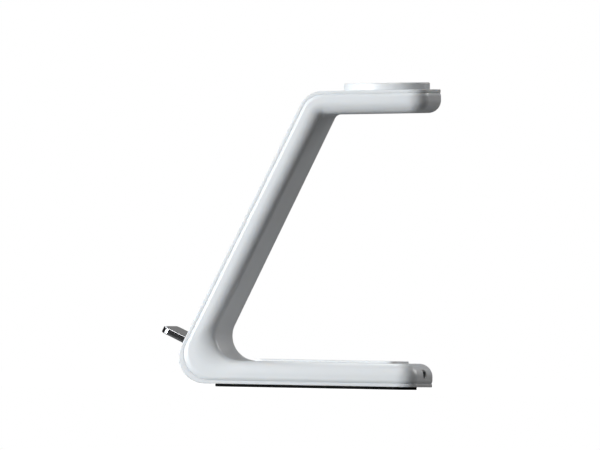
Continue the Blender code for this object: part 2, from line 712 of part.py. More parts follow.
def circuit_board(cover, housing):
    """Board on four posts of the cover, with the charging port at its rear edge and three tall parts."""
    port_low = PORT_DEPTH - PORT_HEIGHT / 2
    top = port_low - GAP
    low = top - BOARD_THICKNESS
    rear = REAR_END - BOARD_END_MARGIN
    front = rear - BOARD_LENGTH
    board = block(
        "main_circuit_board", (-BOARD_WIDTH / 2, front, UNDERSIDE + low), (BOARD_WIDTH / 2, rear, UNDERSIDE + top),
        green_laminate(), corner=BOARD_CORNER_RADIUS, corner_steps=2,
    )
    rows = (("front", front + BOARD_SCREW_INSET), ("rear", rear - PORT_LENGTH - BOARD_SCREW_INSET))
    for row, y in rows:
        for side, word in ((1, "right"), (-1, "left")):
            label = f"{row}_{word}"
            place = (side * BOARD_SCREW_SPACING / 2, y, UNDERSIDE)
            post = disc(
                "board_post_" + label, SCREW_HEAD_RADIUS, COVER_THICKNESS - GAP, low - GAP, white_plastic(), None,
                place,
            )
            fuse(cover, post)
    for side, word in ((1, "right"), (-1, "left")):
        place = (side * BOARD_SCREW_SPACING / 2, rows[0][1], UNDERSIDE)
        pilot = disc(
            "board_pilot_" + word, SCREW_SHANK_RADIUS + GAP, COVER_THICKNESS - GAP, top + CUT_OVERRUN,
            white_plastic(), None, place,
        )
        cut(cover, pilot)
        cut(board, pilot)
        screw("board_screw_" + word, top + GAP, 1, top + GAP - COVER_THICKNESS, None, place)
    charging_port(housing)
    stand = UNDERSIDE + top + GAP
    chip_y = front + BOARD_LENGTH / 2 - CHIP_SIZE
    filter_y = REAR_END - PORT_SINK - PORT_LENGTH - PART_CLEARANCE - INDUCTOR_SIZE / 2
    parts = (
        ("charge_controller_chip", 0.0, chip_y, CHIP_SIZE, CHIP_SIZE, CHIP_HEIGHT),
        ("power_inductor", -INDUCTOR_SIZE, filter_y, INDUCTOR_SIZE, INDUCTOR_SIZE, INDUCTOR_HEIGHT),
        ("filter_capacitor", INDUCTOR_SIZE, filter_y, CAPACITOR_WIDTH, CAPACITOR_LENGTH, CAPACITOR_HEIGHT),
    )
    for name, x, y, wide, long, tall in parts:
        block(
            name, (x - wide / 2, y - long / 2, stand), (x + wide / 2, y + long / 2, stand + tall), black_moulding()
        )


def charging_port(housing):
    """Round-ended metal shell in a matching window of the housing, with a contact tongue inside."""
    port = frame_at("port_frame", base_point(REAR_END, PORT_DEPTH), 0.0)
    shell = stadium("usb_c_shell", PORT_WIDTH, PORT_HEIGHT, -PORT_SINK - PORT_LENGTH, -PORT_SINK, steel(), port)
    bore = stadium(
        "usb_c_bore", PORT_WIDTH - 2 * PORT_WALL, PORT_HEIGHT - 2 * PORT_WALL, -PORT_SINK - PORT_LENGTH - CUT_OVERRUN,
        CUT_OVERRUN, steel(), port,
    )
    cut(shell, bore)
    window = stadium(
        "usb_c_window", PORT_WIDTH + 2 * GAP, PORT_HEIGHT + 2 * GAP, -HOUSING_WALL - CUT_OVERRUN, CUT_OVERRUN,
        white_plastic(), port,
    )
    cut(housing, window)
    back = -PORT_SINK - PORT_LENGTH
    insulator = stadium(
        "usb_c_tongue", PORT_WIDTH - 2 * PORT_WALL - 2 * GAP, PORT_HEIGHT - 2 * PORT_WALL - 2 * GAP, back,
        back + INSULATOR_LENGTH, black_moulding(), port,
    )
    plate = block(
        "usb_c_plate", (-TONGUE_PLATE_WIDTH / 2, back + INSULATOR_LENGTH / 2, -TONGUE_PLATE_HEIGHT / 2),
        (TONGUE_PLATE_WIDTH / 2, back + INSULATOR_LENGTH + TONGUE_PLATE_LENGTH, TONGUE_PLATE_HEIGHT / 2),
        black_moulding(), port,
    )
    fuse(insulator, plate)


def guide_ribs(housing, column):
    """Two ribs inside the column's back that keep the leads between them."""
    back = -CAVITY_DEPTH
    reach = LEAD_SPACING / 2 + LEAD_RADIUS + GAP
    middle = (LOWER_COIL_HEIGHT + UPPER_COIL_HEIGHT) / 2
    for side, word in ((1, "right"), (-1, "left")):
        edges = sorted((side * reach, side * (reach + RIB_THICKNESS)))
        rib = block(
            "guide_rib_" + word, (edges[0], middle - RIB_LENGTH / 2, back - GAP),
            (edges[1], middle + RIB_LENGTH / 2, back + RIB_HEIGHT), white_plastic(), column,
        )
        fuse(housing, rib)


def smooth_route(points, steps=4):
    """Points along a smooth curve through the given ones."""
    ends = [points[0] * 2 - points[1]] + points + [points[-1] * 2 - points[-2]]
    route = []
    for a, b, c, d in zip(ends, ends[1:], ends[2:], ends[3:]):
        for i in range(steps):
            t = i / steps
            bent = (c - a) * t + (a * 2 - b * 5 + c * 4 - d) * t**2 + (b * 3 - a - c * 3 + d) * t**3
            route.append(b + bent / 2)
    return route + [points[-1]]


def lead(name, points, x):
    """Round cable along a route in the side plane."""
    route = smooth_route(points)
    curve = bpy.data.curves.new(name, "CURVE")
    curve.dimensions = "3D"
    curve.bevel_depth = LEAD_RADIUS
    curve.bevel_resolution = 1
    curve.use_fill_caps = True
    spline = curve.splines.new("POLY")
    spline.points.add(len(route) - 1)
    for point, place in zip(spline.points, route):
        point.co = (place.x + x, place.y, place.z, 1.0)
    curve.materials.append(black_rubber())
    made = bpy.data.objects.new(name, curve)
    bpy.context.collection.objects.link(made)
    return made


def leads():
    """Leads from the board to the coils. The long ones lie on the inside of the column's back."""
    back = CAVITY_DEPTH - GAP - LEAD_RADIUS
    board_top = PORT_DEPTH - PORT_HEIGHT / 2 - GAP
    board_front = REAR_END - BOARD_END_MARGIN - BOARD_LENGTH
    ferrite_low = CAVITY_DEPTH - 2 * GAP - COIL_THICKNESS - FERRITE_THICKNESS
    board_depth = (board_top + ferrite_low) / 2
    under_ferrite = ferrite_low - GAP - LEAD_RADIUS
    start = [
        base_point(board_front + LEAD_BOARD_OVERLAP, board_depth),
        base_point(board_front - LEAD_STEP_LENGTH, under_ferrite),
    ]
    lead("earbud_leads", start, 0.0)

    ferrite_front = PAD_CENTRE - COIL_RADIUS - FERRITE_MARGIN
    climb = [
        base_point(ferrite_front - GAP, under_ferrite),
        base_point(ferrite_front - LEAD_STEP_LENGTH, back - LEAD_SLACK),
    ]
    climb += heel_points(back)[2::2]
    column_step = UPPER_COIL_HEIGHT / LEAD_COLUMN_STEPS
    climb += [column_point(column_step * i, back) for i in range(1, LEAD_COLUMN_STEPS - 1)]
    behind_ferrite = COVER_THICKNESS + 3 * GAP + COIL_THICKNESS + FERRITE_THICKNESS + LEAD_RADIUS
    phone_end = [
        column_point(UPPER_COIL_HEIGHT - LEAD_COIL_TURN_IN, back),
        column_point(UPPER_COIL_HEIGHT, behind_ferrite),
    ]
    lead("phone_leads", start + climb + phone_end, LEAD_SPACING / 2)

    top = (UPPER_COIL_HEIGHT + COLUMN_LENGTH) / 2
    over = [column_point(UPPER_COIL_HEIGHT - LEAD_COIL_TURN_IN, back), column_point(top, back)]
    over += crown_points(back)[::2]
    under_puck = PUCK_NECK_DEPTH + GAP + LEAD_RADIUS
    watch_end = [
        arm_point(PUCK_PLACE - PUCK_RADIUS, back - LEAD_SLACK),
        arm_point(PUCK_PLACE - LEAD_STEP_LENGTH, under_puck),
    ]
    lead("watch_leads", start + climb + over + watch_end, -LEAD_SPACING / 2)


def clear_scene():
    for old in list(bpy.data.objects):
        bpy.data.objects.remove(old, do_unlink=True)


def main():
    clear_scene()
    column = frame_at("column_frame", column_point(0.0, 0.0), COLUMN_ANGLE)
    arm = frame_at("arm_frame", arm_point(PUCK_PLACE, 0.0), ARM_RISE)
    cover = outer_cover()
    housing = rear_housing()
    foot_pad(cover)
    earbud_pad(housing)
    phone_coil("lower", LOWER_COIL_HEIGHT, cover, column)
    phone_coil("upper", UPPER_COIL_HEIGHT, cover, column)
    watch_puck(cover, arm)
    phone_ledge(cover, column)
    case_screws(cover, housing)
    circuit_board(cover, housing)
    guide_ribs(housing, column)
    leads()


main()
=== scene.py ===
"""Dresses the three-in-one wireless charging stand: fine surfaces, finishes, a plain studio and a camera.

The file is laid out as an add-on and run as a script. Each operator makes one piece or a group of like
pieces from the sizes in its property group, and the panel in the 3D view's sidebar lists them. Everything is
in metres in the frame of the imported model, whose boxes give the places of the pieces inside the shells.
"""
import math

import bpy
import numpy as np
from bpy.props import FloatProperty, FloatVectorProperty, IntProperty, PointerProperty
from bpy.types import Operator, Panel, PropertyGroup
from mathutils import Matrix, Vector


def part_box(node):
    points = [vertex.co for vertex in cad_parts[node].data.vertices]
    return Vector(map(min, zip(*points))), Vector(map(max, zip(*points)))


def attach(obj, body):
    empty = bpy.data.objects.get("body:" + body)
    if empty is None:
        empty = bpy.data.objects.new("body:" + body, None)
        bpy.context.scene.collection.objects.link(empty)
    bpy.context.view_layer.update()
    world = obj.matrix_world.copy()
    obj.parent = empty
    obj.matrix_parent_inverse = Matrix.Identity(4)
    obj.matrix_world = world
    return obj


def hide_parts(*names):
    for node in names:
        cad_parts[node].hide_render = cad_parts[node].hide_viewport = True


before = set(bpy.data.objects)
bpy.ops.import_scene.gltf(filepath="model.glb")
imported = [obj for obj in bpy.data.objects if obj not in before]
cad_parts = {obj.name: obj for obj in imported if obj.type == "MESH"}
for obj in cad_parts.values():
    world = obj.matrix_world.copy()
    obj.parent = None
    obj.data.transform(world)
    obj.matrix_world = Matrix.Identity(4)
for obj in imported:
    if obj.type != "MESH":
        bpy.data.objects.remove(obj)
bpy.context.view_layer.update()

bl_info = {
    "name": "Charging stand finish",
    "version": (1, 0, 0),
    "blender": (4, 5, 0),
    "location": "3D View > Sidebar > Stand",
    "description": "Builds the fine surfaces, finishes and studio of a three-in-one wireless charging stand",
    "category": "Object",
}

BODY = "root"
CASE_SCREWS = tuple(f"case_screw_{row}_{side}" for row in ("front", "rear") for side in ("left", "right"))
LEDGE_SCREWS = ("ledge_screw_left", "ledge_screw_right")
QUARTER = math.pi / 2
MIRROR = np.array((-1.0, 1.0, 1.0))
SMOOTH_UP_TO = math.radians(32)

# Metres: how far cuts run past what they cut, and from an edge to the row that keeps the flat beside it flat.
OVERRUN = 0.0010
SUPPORT = 0.0002
BEND_RUN = 4 * SUPPORT
POST_RADIUS = 0.0018
SCREW_HEAD_HEIGHT = 0.0010
PUCK_INNER_ROUND = 0.0003

# Facets of edges, corners, the port's ends and large rings, and rows across the dished face.
INNER_EDGE_STEPS = 6
EDGE_STEPS = 8
PUCK_EDGE_STEPS = 12
LIP_STEPS = 12
CORNER_STEPS = 16
PORT_STEPS = 24
RING_STEPS = 128
DISH_ROWS = 40
DISH_CENTRE = 0.02
LUG_COUNT = 3

# Noise in waves for each metre, the Wave node's own factor on distance, and depths and gloss of metal.
FLOOR_WAVES = 3.0
FLOW_WAVES = 38.0
GLOSS_WAVES = 240.0
TARNISH_WAVES = 420.0
MARK_WAVES = 2400.0
WAVE_FACTOR = 20.0
MARK_DEPTH = 0.000002
WIRE_ROUGHNESS = 0.34
WIRE_RELIEF = 0.4
SMOOTHEST = 0.02

# Soft boxes: name, bearing and height in degrees, size in metres, power in watts and tone.
BOX_DISTANCE = 1.4
COOL = (0.965, 1.0, 1.02)
WHITE = (1.0, 1.0, 1.0)
SOFT_BOXES = (
    ("key_box", 52.0, 6.0, 0.6, 17.8, COOL),
    ("front_box", 35.0, 4.0, 0.6, 4.2, COOL),
    ("high_box", 5.0, 45.0, 0.6, 2.6, COOL),
    ("top_box", 110.0, 60.0, 0.6, 4.0, WHITE),
    ("rear_box", 230.0, 20.0, 0.6, 4.1, WHITE),
    ("far_box", 290.0, 50.0, 0.6, 5.0, COOL),
    ("far_wall", 280.0, 10.0, 2.4, 2.8, WHITE),
)


def length(name, default, note):
    """A distance in metres that a user can change."""
    return FloatProperty(name=name, description=note, default=default, min=0.0, precision=5, unit="LENGTH")


def angle(name, default, note):
    """An angle that a user can change, given here in degrees."""
    return FloatProperty(name=name, description=note, default=math.radians(default), unit="ROTATION")


def share(name, default, note):
    """A plain number from 0 to 1 that a user can change."""
    return FloatProperty(name=name, description=note, default=default, min=0.0, max=1.0, subtype="FACTOR")


def number(name, default, note, least):
    """A whole number that a user can change."""
    return IntProperty(name=name, description=note, default=default, min=least)


def colour(name, default, note):
    """A linear colour that a user can change."""
    return FloatVectorProperty(
        name=name, description=note, default=default, size=3, min=0.0, max=1.0, subtype="COLOR")


class StandBandSizes(PropertyGroup):
    """Sizes of the bent band and of the two shells that it is made of."""

    base_length: length("Base length", 0.1012, "From the heel's front to the base's rear end")
    arm_reach: length("Arm reach", 0.1031, "From the heel's front to the arm's end")
    crown_height: length("Crown height", 0.1240, "From the underside to the corner of column and arm")
    column_angle: angle("Column angle", 64.7, "Lean of the column from level")
    arm_rise: angle("Arm rise", 2.0, "Rise of the arm towards its end")
    thickness: length("Band thickness", 0.0099, "From the outer face to the inner one")
    width_at_base: length("Width at the base", 0.0550, "Width across the underside")
    width_at_crown: length("Width at the crown", 0.0475, "Width across the top")
    heel_radius: length("Heel radius", 0.0112, "Outer radius of the lower bend")
    crown_radius: length("Crown radius", 0.0106, "Outer radius of the upper bend")
    inner_heel_radius: length("Inner heel radius", 0.0105, "Inner radius of the lower bend")
    inner_crown_radius: length("Inner crown radius", 0.0030, "Inner radius of the upper bend")
    end_corner_radius: length("End corner radius", 0.0082, "Corners of base and arm from above")
    inner_edge_fillet: length("Inner edge fillet", 0.0055, "Large round along the inner face")
    cover_thickness: length("Cover thickness", 0.0014, "Wall of the outer cover")
    cover_edge_round: length("Cover edge round", 0.00025, "Small round along the cover's edges")
    housing_wall: length("Housing wall", 0.0016, "Wall of the rear housing")
    cover_inset: length("Cover inset", 0.0005, "How far the cover's edge lies inside the sides")
    cover_end_inset: length("Cover end inset", 0.0001, "How far the cover's edge lies inside the ends")
    groove_inset: length("Groove inset", 0.0006, "How far the sides draw in at the groove")
    groove_end_inset: length("Groove end inset", 0.0004, "How far the ends draw in at the groove")
    groove_round_height: length("Groove round height", 0.0015, "Height of the round at the groove")
    groove_edge_round: length("Groove edge round", 0.0001, "Small round on the cover in the groove")
    seam: length("Seam", 0.00001, "Gap that shows between the two shells")
    lip_height: length("Lip height", 0.0015, "Height of the cover's inner lip")
    lip_thickness: length("Lip thickness", 0.0010, "Thickness of the cover's inner lip")
    gap: length("Gap", 0.0003, "Clearance between pieces")
    bend_steps: number("Bend steps", 56, "Facets round each bend", 8)
    round_steps: number("Round steps", 12, "Facets round each edge", 3)
    corner_steps: number("Corner steps", 24, "Facets round each end corner", 4)


class StandPieceSizes(PropertyGroup):
    """Sizes of the pieces that the band carries."""

    puck_radius: length("Puck radius", 0.0181, "Radius of the watch puck")
    puck_stand_out: length("Puck height", 0.0030, "From the arm to the puck's top")
    puck_end_margin: length("Puck end margin", 0.0023, "From the puck to the arm's end")
    puck_edge_round: length("Puck edge round", 0.0006, "Round along the puck's edge")
    puck_flange_width: length("Puck flange width", 0.0026, "From the neck to the puck's edge")
    puck_neck_wall: length("Puck neck wall", 0.0012, "Wall of the neck")
    puck_neck_depth: length("Puck neck depth", 0.0030, "Reach of the neck into the arm")
    puck_shelf_width: length("Puck shelf width", 0.0010, "Shelf under the charging face")
    puck_lug_reach: length("Puck lug reach", 0.0009, "How far the lugs stand out of the neck")
    puck_lug_width: length("Puck lug width", 0.0040, "Width of a snap lug")
    face_thickness: length("Face thickness", 0.0010, "Thickness of the charging face")
    face_dish_depth: length("Face dish depth", 0.0009, "Depth of the face's dish")
    face_sink: length("Face sink", 0.0002, "From the rim down to the face")
    ledge_height: length("Ledge height", 0.0211, "From the column's corner to the ledge's top")
    ledge_width: length("Ledge width", 0.0360, "Width of the phone ledge")
    ledge_reach: length("Ledge reach", 0.0117, "From the column to the ledge's edge")
    ledge_thickness: length("Ledge thickness", 0.0029, "Thickness of the phone ledge")
    ledge_corner_radius: length("Ledge corner radius", 0.0030, "Outer corners seen from above")
    ledge_edge_round: length("Ledge edge round", 0.0006, "Round along the ledge's edges")
    tongue_inset: length("Tongue inset", 0.0070, "From the ledge's side to its tongue's")
    tongue_thickness: length("Tongue thickness", 0.0014, "Thickness of the ledge's tongue")
    flange_thickness: length("Flange thickness", 0.0010, "Thickness of the ledge's flange")
    flange_height: length("Flange height", 0.0080, "Height of the ledge's flange")
    ledge_boss_height: length("Ledge boss height", 0.0016, "Height of the bosses under the flange")
    boss_radius: length("Boss radius", 0.0026, "Radius of the screw bosses")
    pilot_radius: length("Pilot radius", 0.0012, "Radius of the screw holes")
    case_sink_height: length("Case sink height", 0.0016, "Height of the sinks over the wall")
    foot_recess_depth: length("Foot recess depth", 0.0006, "Depth of the foot pad's recess")
    foot_corner_radius: length("Foot corner radius", 0.0050, "Corners of the foot pad")
    foot_edge_round: length("Foot edge round", 0.00025, "Round along the foot pad's edge")
    pad_recess_depth: length("Pad recess depth", 0.0006, "Depth of the earbud pad's recess")
    pad_corner_radius: length("Pad corner radius", 0.0040, "Corners of the earbud pad")
    pad_edge_round: length("Pad edge round", 0.0003, "Round along the earbud pad's edge")
    coil_ring_wall: length("Coil ring wall", 0.0008, "Wall of the rings round the coils")
    coil_ring_height: length("Coil ring height", 0.0012, "Height of the rings")
    lead_spacing: length("Lead spacing", 0.0070, "Between the two long leads")
    lead_radius: length("Lead radius", 0.0006, "Radius of a lead")
    rib_thickness: length("Rib thickness", 0.0010, "Thickness of the ribs beside the leads")
    rib_height: length("Rib height", 0.0020, "Height of the ribs")
    rib_length: length("Rib length", 0.0700, "Length of the ribs")
    port_width: length("Port width", 0.00894, "Width of the port's shell")
    port_height: length("Port height", 0.00326, "Height of the port's shell")
    port_wall: length("Port wall", 0.0003, "Wall of the port's shell")
    contact_count: number("Contacts", 12, "Contacts on each side", 1)
    contact_pitch: length("Contact pitch", 0.0005, "From one contact to the next")
    contact_width: length("Contact width", 0.00026, "Width of a contact")
    contact_length: length("Contact length", 0.0016, "Length of a contact")
    contact_height: length("Contact height", 0.00003, "How far a contact stands out")
    wire_pitch: length("Wire pitch", 0.0009, "From one turn of a coil to the next")
    round_steps: number("Round steps", 160, "Facets round the puck", 16)


class StandFinishes(PropertyGroup):
    """Colours and roughness of the finishes."""

    white: colour("White", (0.80, 0.812, 0.825), "Moulded white plastic of both shells")
    white_roughness: share("White roughness", 0.36, "Roughness of the moulded plastic")
    milkiness: share("Milkiness", 0.5, "How much light passes under the surface")
    soft_white: colour("Soft white", (0.84, 0.85, 0.86), "Pads that other things lie on")
    soft_roughness: share("Soft roughness", 0.62, "Roughness of the soft pads")
    rubber: colour("Rubber", (0.008, 0.008, 0.009), "Foot pad")
    polished: colour("Polished metal", (0.60, 0.60, 0.62), "Phone ledge")
    polished_roughness: share("Polish roughness", 0.10, "Roughness of the phone ledge")
    steel: colour("Steel", (0.42, 0.42, 0.44), "Screws and the charging port")
    copper: colour("Copper", (0.62, 0.27, 0.12), "Coil windings")
    ferrite: colour("Ferrite", (0.045, 0.045, 0.05), "Ferrite plates")
    laminate: colour("Laminate", (0.015, 0.11, 0.045), "Circuit board")
    gold: colour("Gold", (0.80, 0.55, 0.20), "Contacts")
    black: colour("Black moulding", (0.012, 0.012, 0.013), "Chips and the port's tongue")
    sleeve: colour("Lead sleeve", (0.02, 0.02, 0.022), "Sleeves of the leads")


class StandStageSettings(PropertyGroup):
    """Place of the camera, the floor and the light."""

    azimuth: angle("Azimuth", 99.0, "Direction of the camera round the stand")
    elevation: angle("Elevation", 0.10, "Height of the camera over level")
    roll: angle("Roll", 1.05, "Turn of the camera about its view")
    distance: length("Distance", 0.8, "From the camera to the stand")
    view_width: length("View width", 0.25299, "Width that the camera takes in")
    target_y: FloatProperty(name="Target Y", description="Middle of the view", default=-0.0081, unit="LENGTH")
    target_z: FloatProperty(name="Target Z", description="Middle of the view", default=0.0687, unit="LENGTH")
    floor_size: length("Floor size", 6.0, "Width of the floor")
    floor_tone: share("Floor tone", 0.20, "Reflectance of the floor")
    surround: share("Surround", 0.02, "Brightness of the room to all but the camera")
    light_level: FloatProperty(
        name="Light level", description="Factor on every soft box", default=1.0, min=0.0)


def direction(turn):
    """Unit vector in the side plane: the cosine of the angle along Y and its sine along Z."""
    return np.array((0.0, math.cos(turn), math.sin(turn)))


def outward(bearing, height):
    """Unit vector away from the stand on a bearing round it: its level part is the height's cosine."""
    level = math.cos(height)
    return np.array((math.sin(bearing) * level, -math.cos(bearing) * level, math.sin(height)))


def mirrored(near):
    """A loop from its near half: the half and its mirror image in X, run backwards."""
    return np.concatenate((near, near[..., ::-1, :] * MIRROR[: near.shape[-1]]), axis=-2)


def mitre(first, second):
    """Step from a corner for one unit of depth under both faces: their sum over one plus their product."""
    return (first + second) / (1.0 + first @ second)


class Band:
    """Places on the bent band, worked out from its sizes."""

    def __init__(self, sizes):
        low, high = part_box("outer_cover")
        self.sizes = sizes
        self.underside = low[2]
        self.heel_front = low[1]
        self.rear_end = self.heel_front + sizes.base_length
        self.base_out = -direction(QUARTER)
        self.column_up = direction(sizes.column_angle)
        self.column_out = direction(sizes.column_angle + QUARTER)
        self.arm_along = direction(sizes.arm_rise)
        self.arm_out = direction(sizes.arm_rise + QUARTER)
        self.heel_mitre = mitre(self.base_out, self.column_out)
        self.crown_mitre = mitre(self.column_out, self.arm_out)
        heel_centre = np.array((0.0, self.heel_front + sizes.heel_radius, self.underside + sizes.heel_radius))
        self.heel_corner = heel_centre + self.heel_mitre * sizes.heel_radius
        up_column = self.column_up * sizes.crown_height / math.sin(sizes.column_angle)
        self.crown_corner = self.heel_corner + up_column
        arm_end = self.heel_front + sizes.arm_reach
        self.arm_length = (arm_end - self.crown_corner[1]) / math.cos(sizes.arm_rise)
        self.cavity_depth = sizes.thickness - sizes.housing_wall

    def half_width(self, height):
        """Half the width of the band, which narrows evenly with height."""
        sizes = self.sizes
        risen = (height - self.underside) / sizes.crown_height
        return (sizes.width_at_base + (sizes.width_at_crown - sizes.width_at_base) * risen) / 2

    def bend(self, corner, step, radii, turns, depth):
        """Arcs of a bend at several depths, each with a short straight run before and after it.

        A point is the arc's centre plus its radius times the direction of the angle. Radius and centre pass
        evenly from the outer face's bend to the inner face's.
        """
        sizes = self.sizes
        radius = radii[0] + (radii[1] - radii[0]) * depth / sizes.thickness
        centre = corner - step * (radius + depth)[:, None]
        turn = np.linspace(turns[0], turns[1], sizes.bend_steps + 1)
        around = np.stack((0 * turn, np.cos(turn), np.sin(turn)), axis=1)
        arcs = centre[:, None, :] + radius[:, None, None] * around
        run = BEND_RUN * np.sign(turns[1] - turns[0])
        before = arcs[:, :1] - run * np.array((0.0, -math.sin(turns[0]), math.cos(turns[0])))
        after = arcs[:, -1:] + run * np.array((0.0, -math.sin(turns[1]), math.cos(turns[1])))
        return np.concatenate((before, arcs, after), axis=1)

    def loops(self, section, end_shift=0.0):
        """Closed loops round the band, one for each (inset, depth) of the section.

        The near half runs round the base's corner, along the base, up the column, along the arm and round
        its corner. A corner is a quarter circle whose reach is the corner's radius less the inset, or an
        ellipse where the ends draw in less by a shift. The far half is its mirror image.
        """
        sizes = self.sizes
        inset, depth = np.array(section, dtype=float).T
        corner = sizes.end_corner_radius
        turn = np.linspace(0.0, QUARTER, sizes.corner_steps + 1)
        reach = corner - inset[:, None]
        from_end = corner - (reach + np.reshape(end_shift, (-1, 1))) * np.cos(turn)
        from_side = corner - reach * np.sin(turn)
        full = np.ones_like(from_end)
        base = np.stack((0 * full, self.rear_end - from_end, self.underside + depth[:, None] * full), axis=2)
        start = self.crown_corner - self.arm_out * depth[:, None, None]
        arm = start + self.arm_along * (self.arm_length - from_end)[:, :, None]
        heel = self.bend(
            self.heel_corner, self.heel_mitre, (sizes.heel_radius, sizes.inner_heel_radius),
            (3 * QUARTER, sizes.column_angle + QUARTER), depth,
        )
        crown = self.bend(
            self.crown_corner, self.crown_mitre, (sizes.crown_radius, sizes.inner_crown_radius),
            (sizes.column_angle + QUARTER, sizes.arm_rise + QUARTER), depth,
        )
        path = np.concatenate((base, heel, crown, arm[:, ::-1]), axis=1)
        straight = np.repeat(inset[:, None], heel.shape[1] + crown.shape[1], axis=1)
        side = np.concatenate((from_side, straight, from_side[:, ::-1]), axis=1)
        near = path.copy()
        near[:, :, 0] = self.half_width(path[:, :, 2]) - side
        return mirrored(near)


def quarter_round(inset, depth, wide, high, steps):
    """Quarter of an ellipse in (inset, depth), from its flat side to its upright one.

    The inset exceeds its last value by the width times one less the sine of the angle, and the depth its
    first by the height times one less the cosine. A negative width or height turns the round over.
    """
    turn = np.linspace(0.0, QUARTER, steps + 1)
    return list(zip(inset + wide * (1.0 - np.sin(turn)), depth + high * (1.0 - np.cos(turn))))


def skin(rings, closed=False):
    """Vertices and faces of a closed body from loops that have as many points each.

    Neighbouring loops are joined by quads. A closed body joins its last loop to its first. Otherwise both end
    loops are closed by quads that join each point of the first half to its mirror image in the second.
    """
    count, around = rings.shape[:2]
    at = np.arange(count * around).reshape(count, around)
    low = at if closed else at[:-1]
    high = np.roll(at, -1, axis=0) if closed else at[1:]
    walls = np.stack((low, np.roll(low, -1, axis=1), np.roll(high, -1, axis=1), high), axis=2)
    faces = [walls.reshape(-1, 4)]
    if not closed:
        half = around // 2
        for row, flipped in ((0, True), (-1, False)):
            near = at[row, :half]
            far = at[row, half:][::-1]
            rungs = np.stack((near[:-1], near[1:], far[1:], far[:-1]), axis=1)
            faces.append(rungs[:, ::-1] if flipped else rungs)
    faces = np.concatenate(faces)
    verts = rings.reshape(-1, 3)
    corners = verts[faces]
    first = np.einsum("ij,ij->i", corners[:, 0], np.cross(corners[:, 1], corners[:, 2]))
    second = np.einsum("ij,ij->i", corners[:, 0], np.cross(corners[:, 2], corners[:, 3]))
    if (first + second).sum() < 0:
        faces = faces[:, ::-1]
    return verts, faces


def circle(radius, steps):
    """Points round a circle in two mirrored halves: the cosine of the angle along X and its sine along Y."""
    turn = (np.arange(steps // 2) + 0.5) * 2 * math.pi / steps - QUARTER
    return mirrored(np.stack((radius * np.cos(turn), radius * np.sin(turn)), axis=1))


def stacked(loops, closed=False):
    """Vertices and faces of a closed body from level loops, each with its height."""
    rings = [np.column_stack((loop, np.full(len(loop), height))) for loop, height in loops]
    return skin(np.array(rings), closed)


def turned(profile, steps=48, closed=False):
    """A profile of (radius, height) turned about local Z."""
    return stacked([(circle(radius, steps), height) for radius, height in profile], closed)


def pin(radius, low, high, steps=48):
    """Round pin about local Z between two heights."""
    return turned(((radius, low), (radius, high)), steps)


def slab(low, high, corner, profile, tip_corner=None, steps=8):
    """Plate between two corners, whose outline draws in by each (inset, height) of a profile.

    The outline is a rectangle with round corners. A corner is a quarter circle whose reach is its radius less
    the inset. The corners at high Y may have a radius of their own. A point close to each end of a corner
    keeps the flat sides flat in shading.
    """
    turn = np.linspace(0.0, QUARTER, steps + 1)
    tip = corner if tip_corner is None else tip_corner
    across = np.array((SUPPORT, 0.0))
    along = np.array((0.0, SUPPORT))
    loops = []
    for inset, height in profile:
        lower = np.stack((high[0] - corner + (corner - inset) * np.sin(turn),
                          low[1] + corner - (corner - inset) * np.cos(turn)), axis=1)
        upper = np.stack((high[0] - tip + (tip - inset) * np.cos(turn),
                          high[1] - tip + (tip - inset) * np.sin(turn)), axis=1)
        near = (lower[:1] - across, lower, lower[-1:] + along, upper[:1] - along, upper, upper[-1:] - across)
        loops.append((mirrored(np.concatenate(near)), height))
    verts, faces = stacked(loops)
    return verts + ((low[0] + high[0]) / 2, 0.0, 0.0), faces


def box(low, high):
    """Plain box between two corners."""
    half = (high[0] - low[0]) / 2
    loop = mirrored(np.array(((half, low[1]), (half, high[1]))))
    verts, faces = stacked(((loop, low[2]), (loop, high[2])))
    return verts + ((low[0] + high[0]) / 2, 0.0, 0.0), faces


def stadium(width, height, places):
    """Round-ended bar along Y. Each place is (inset, y): half circles at the sides, drawn in by the inset."""
    radius = height / 2
    turn = np.linspace(-QUARTER, QUARTER, PORT_STEPS + 1)
    return np.array([mirrored(np.stack((
        width / 2 - radius + (radius - inset) * np.cos(turn), 0 * turn + y, (radius - inset) * np.sin(turn),
    ), axis=1)) for inset, y in places])


def seated(body, origin, along, out):
    """A body moved to a face of the band, with local Y along the face and local Z out of it."""
    verts, faces = body
    axes = np.array(((1.0, 0.0, 0.0), along, out))
    return verts @ axes + origin, faces


def joined(bodies):
    """Several bodies as one list of vertices and faces."""
    starts = np.cumsum([0] + [len(verts) for verts, _ in bodies[:-1]])
    verts = np.concatenate([verts for verts, _ in bodies])
    faces = np.concatenate([faces + start for (_, faces), start in zip(bodies, starts)])
    return verts, faces


def put(name, body):
    """A mesh object from vertices and quads."""
    verts, faces = body
    mesh = bpy.data.meshes.new(name)
    mesh.from_pydata(verts, (), faces)
    mesh.validate()
    made = bpy.data.objects.new(name, mesh)
    bpy.context.collection.objects.link(made)
    return made


def carve(piece, steps):
    """Joins bodies to a piece or cuts them from it, in order, and leaves the result in its mesh."""
    tools = []
    for operation, bodies in steps:
        tool = put("tool", joined(bodies))
        change = piece.modifiers.new("carve", "BOOLEAN")
        change.operation = operation
        change.solver = "EXACT"
        change.object = tool
        tools.append(tool)
    done = bpy.data.meshes.new_from_object(piece.evaluated_get(bpy.context.evaluated_depsgraph_get()))
    piece.modifiers.clear()
    piece.data = done
    for tool in tools:
        bpy.data.objects.remove(tool, do_unlink=True)


def paint(piece, look):
    """Gives a piece or a node one material."""
    piece.data.materials.clear()
    piece.data.materials.append(look)


def dress(piece, slot, *nodes, finish=None):
    """Shades a finished piece, gives it its material and stands it for CAD nodes."""
    piece.data.shade_smooth()
    piece.data.set_sharp_from_angle(angle=SMOOTH_UP_TO)
    paint(piece, look(finish or slot))
    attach(piece, BODY)
    if nodes:
        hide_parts(*nodes)


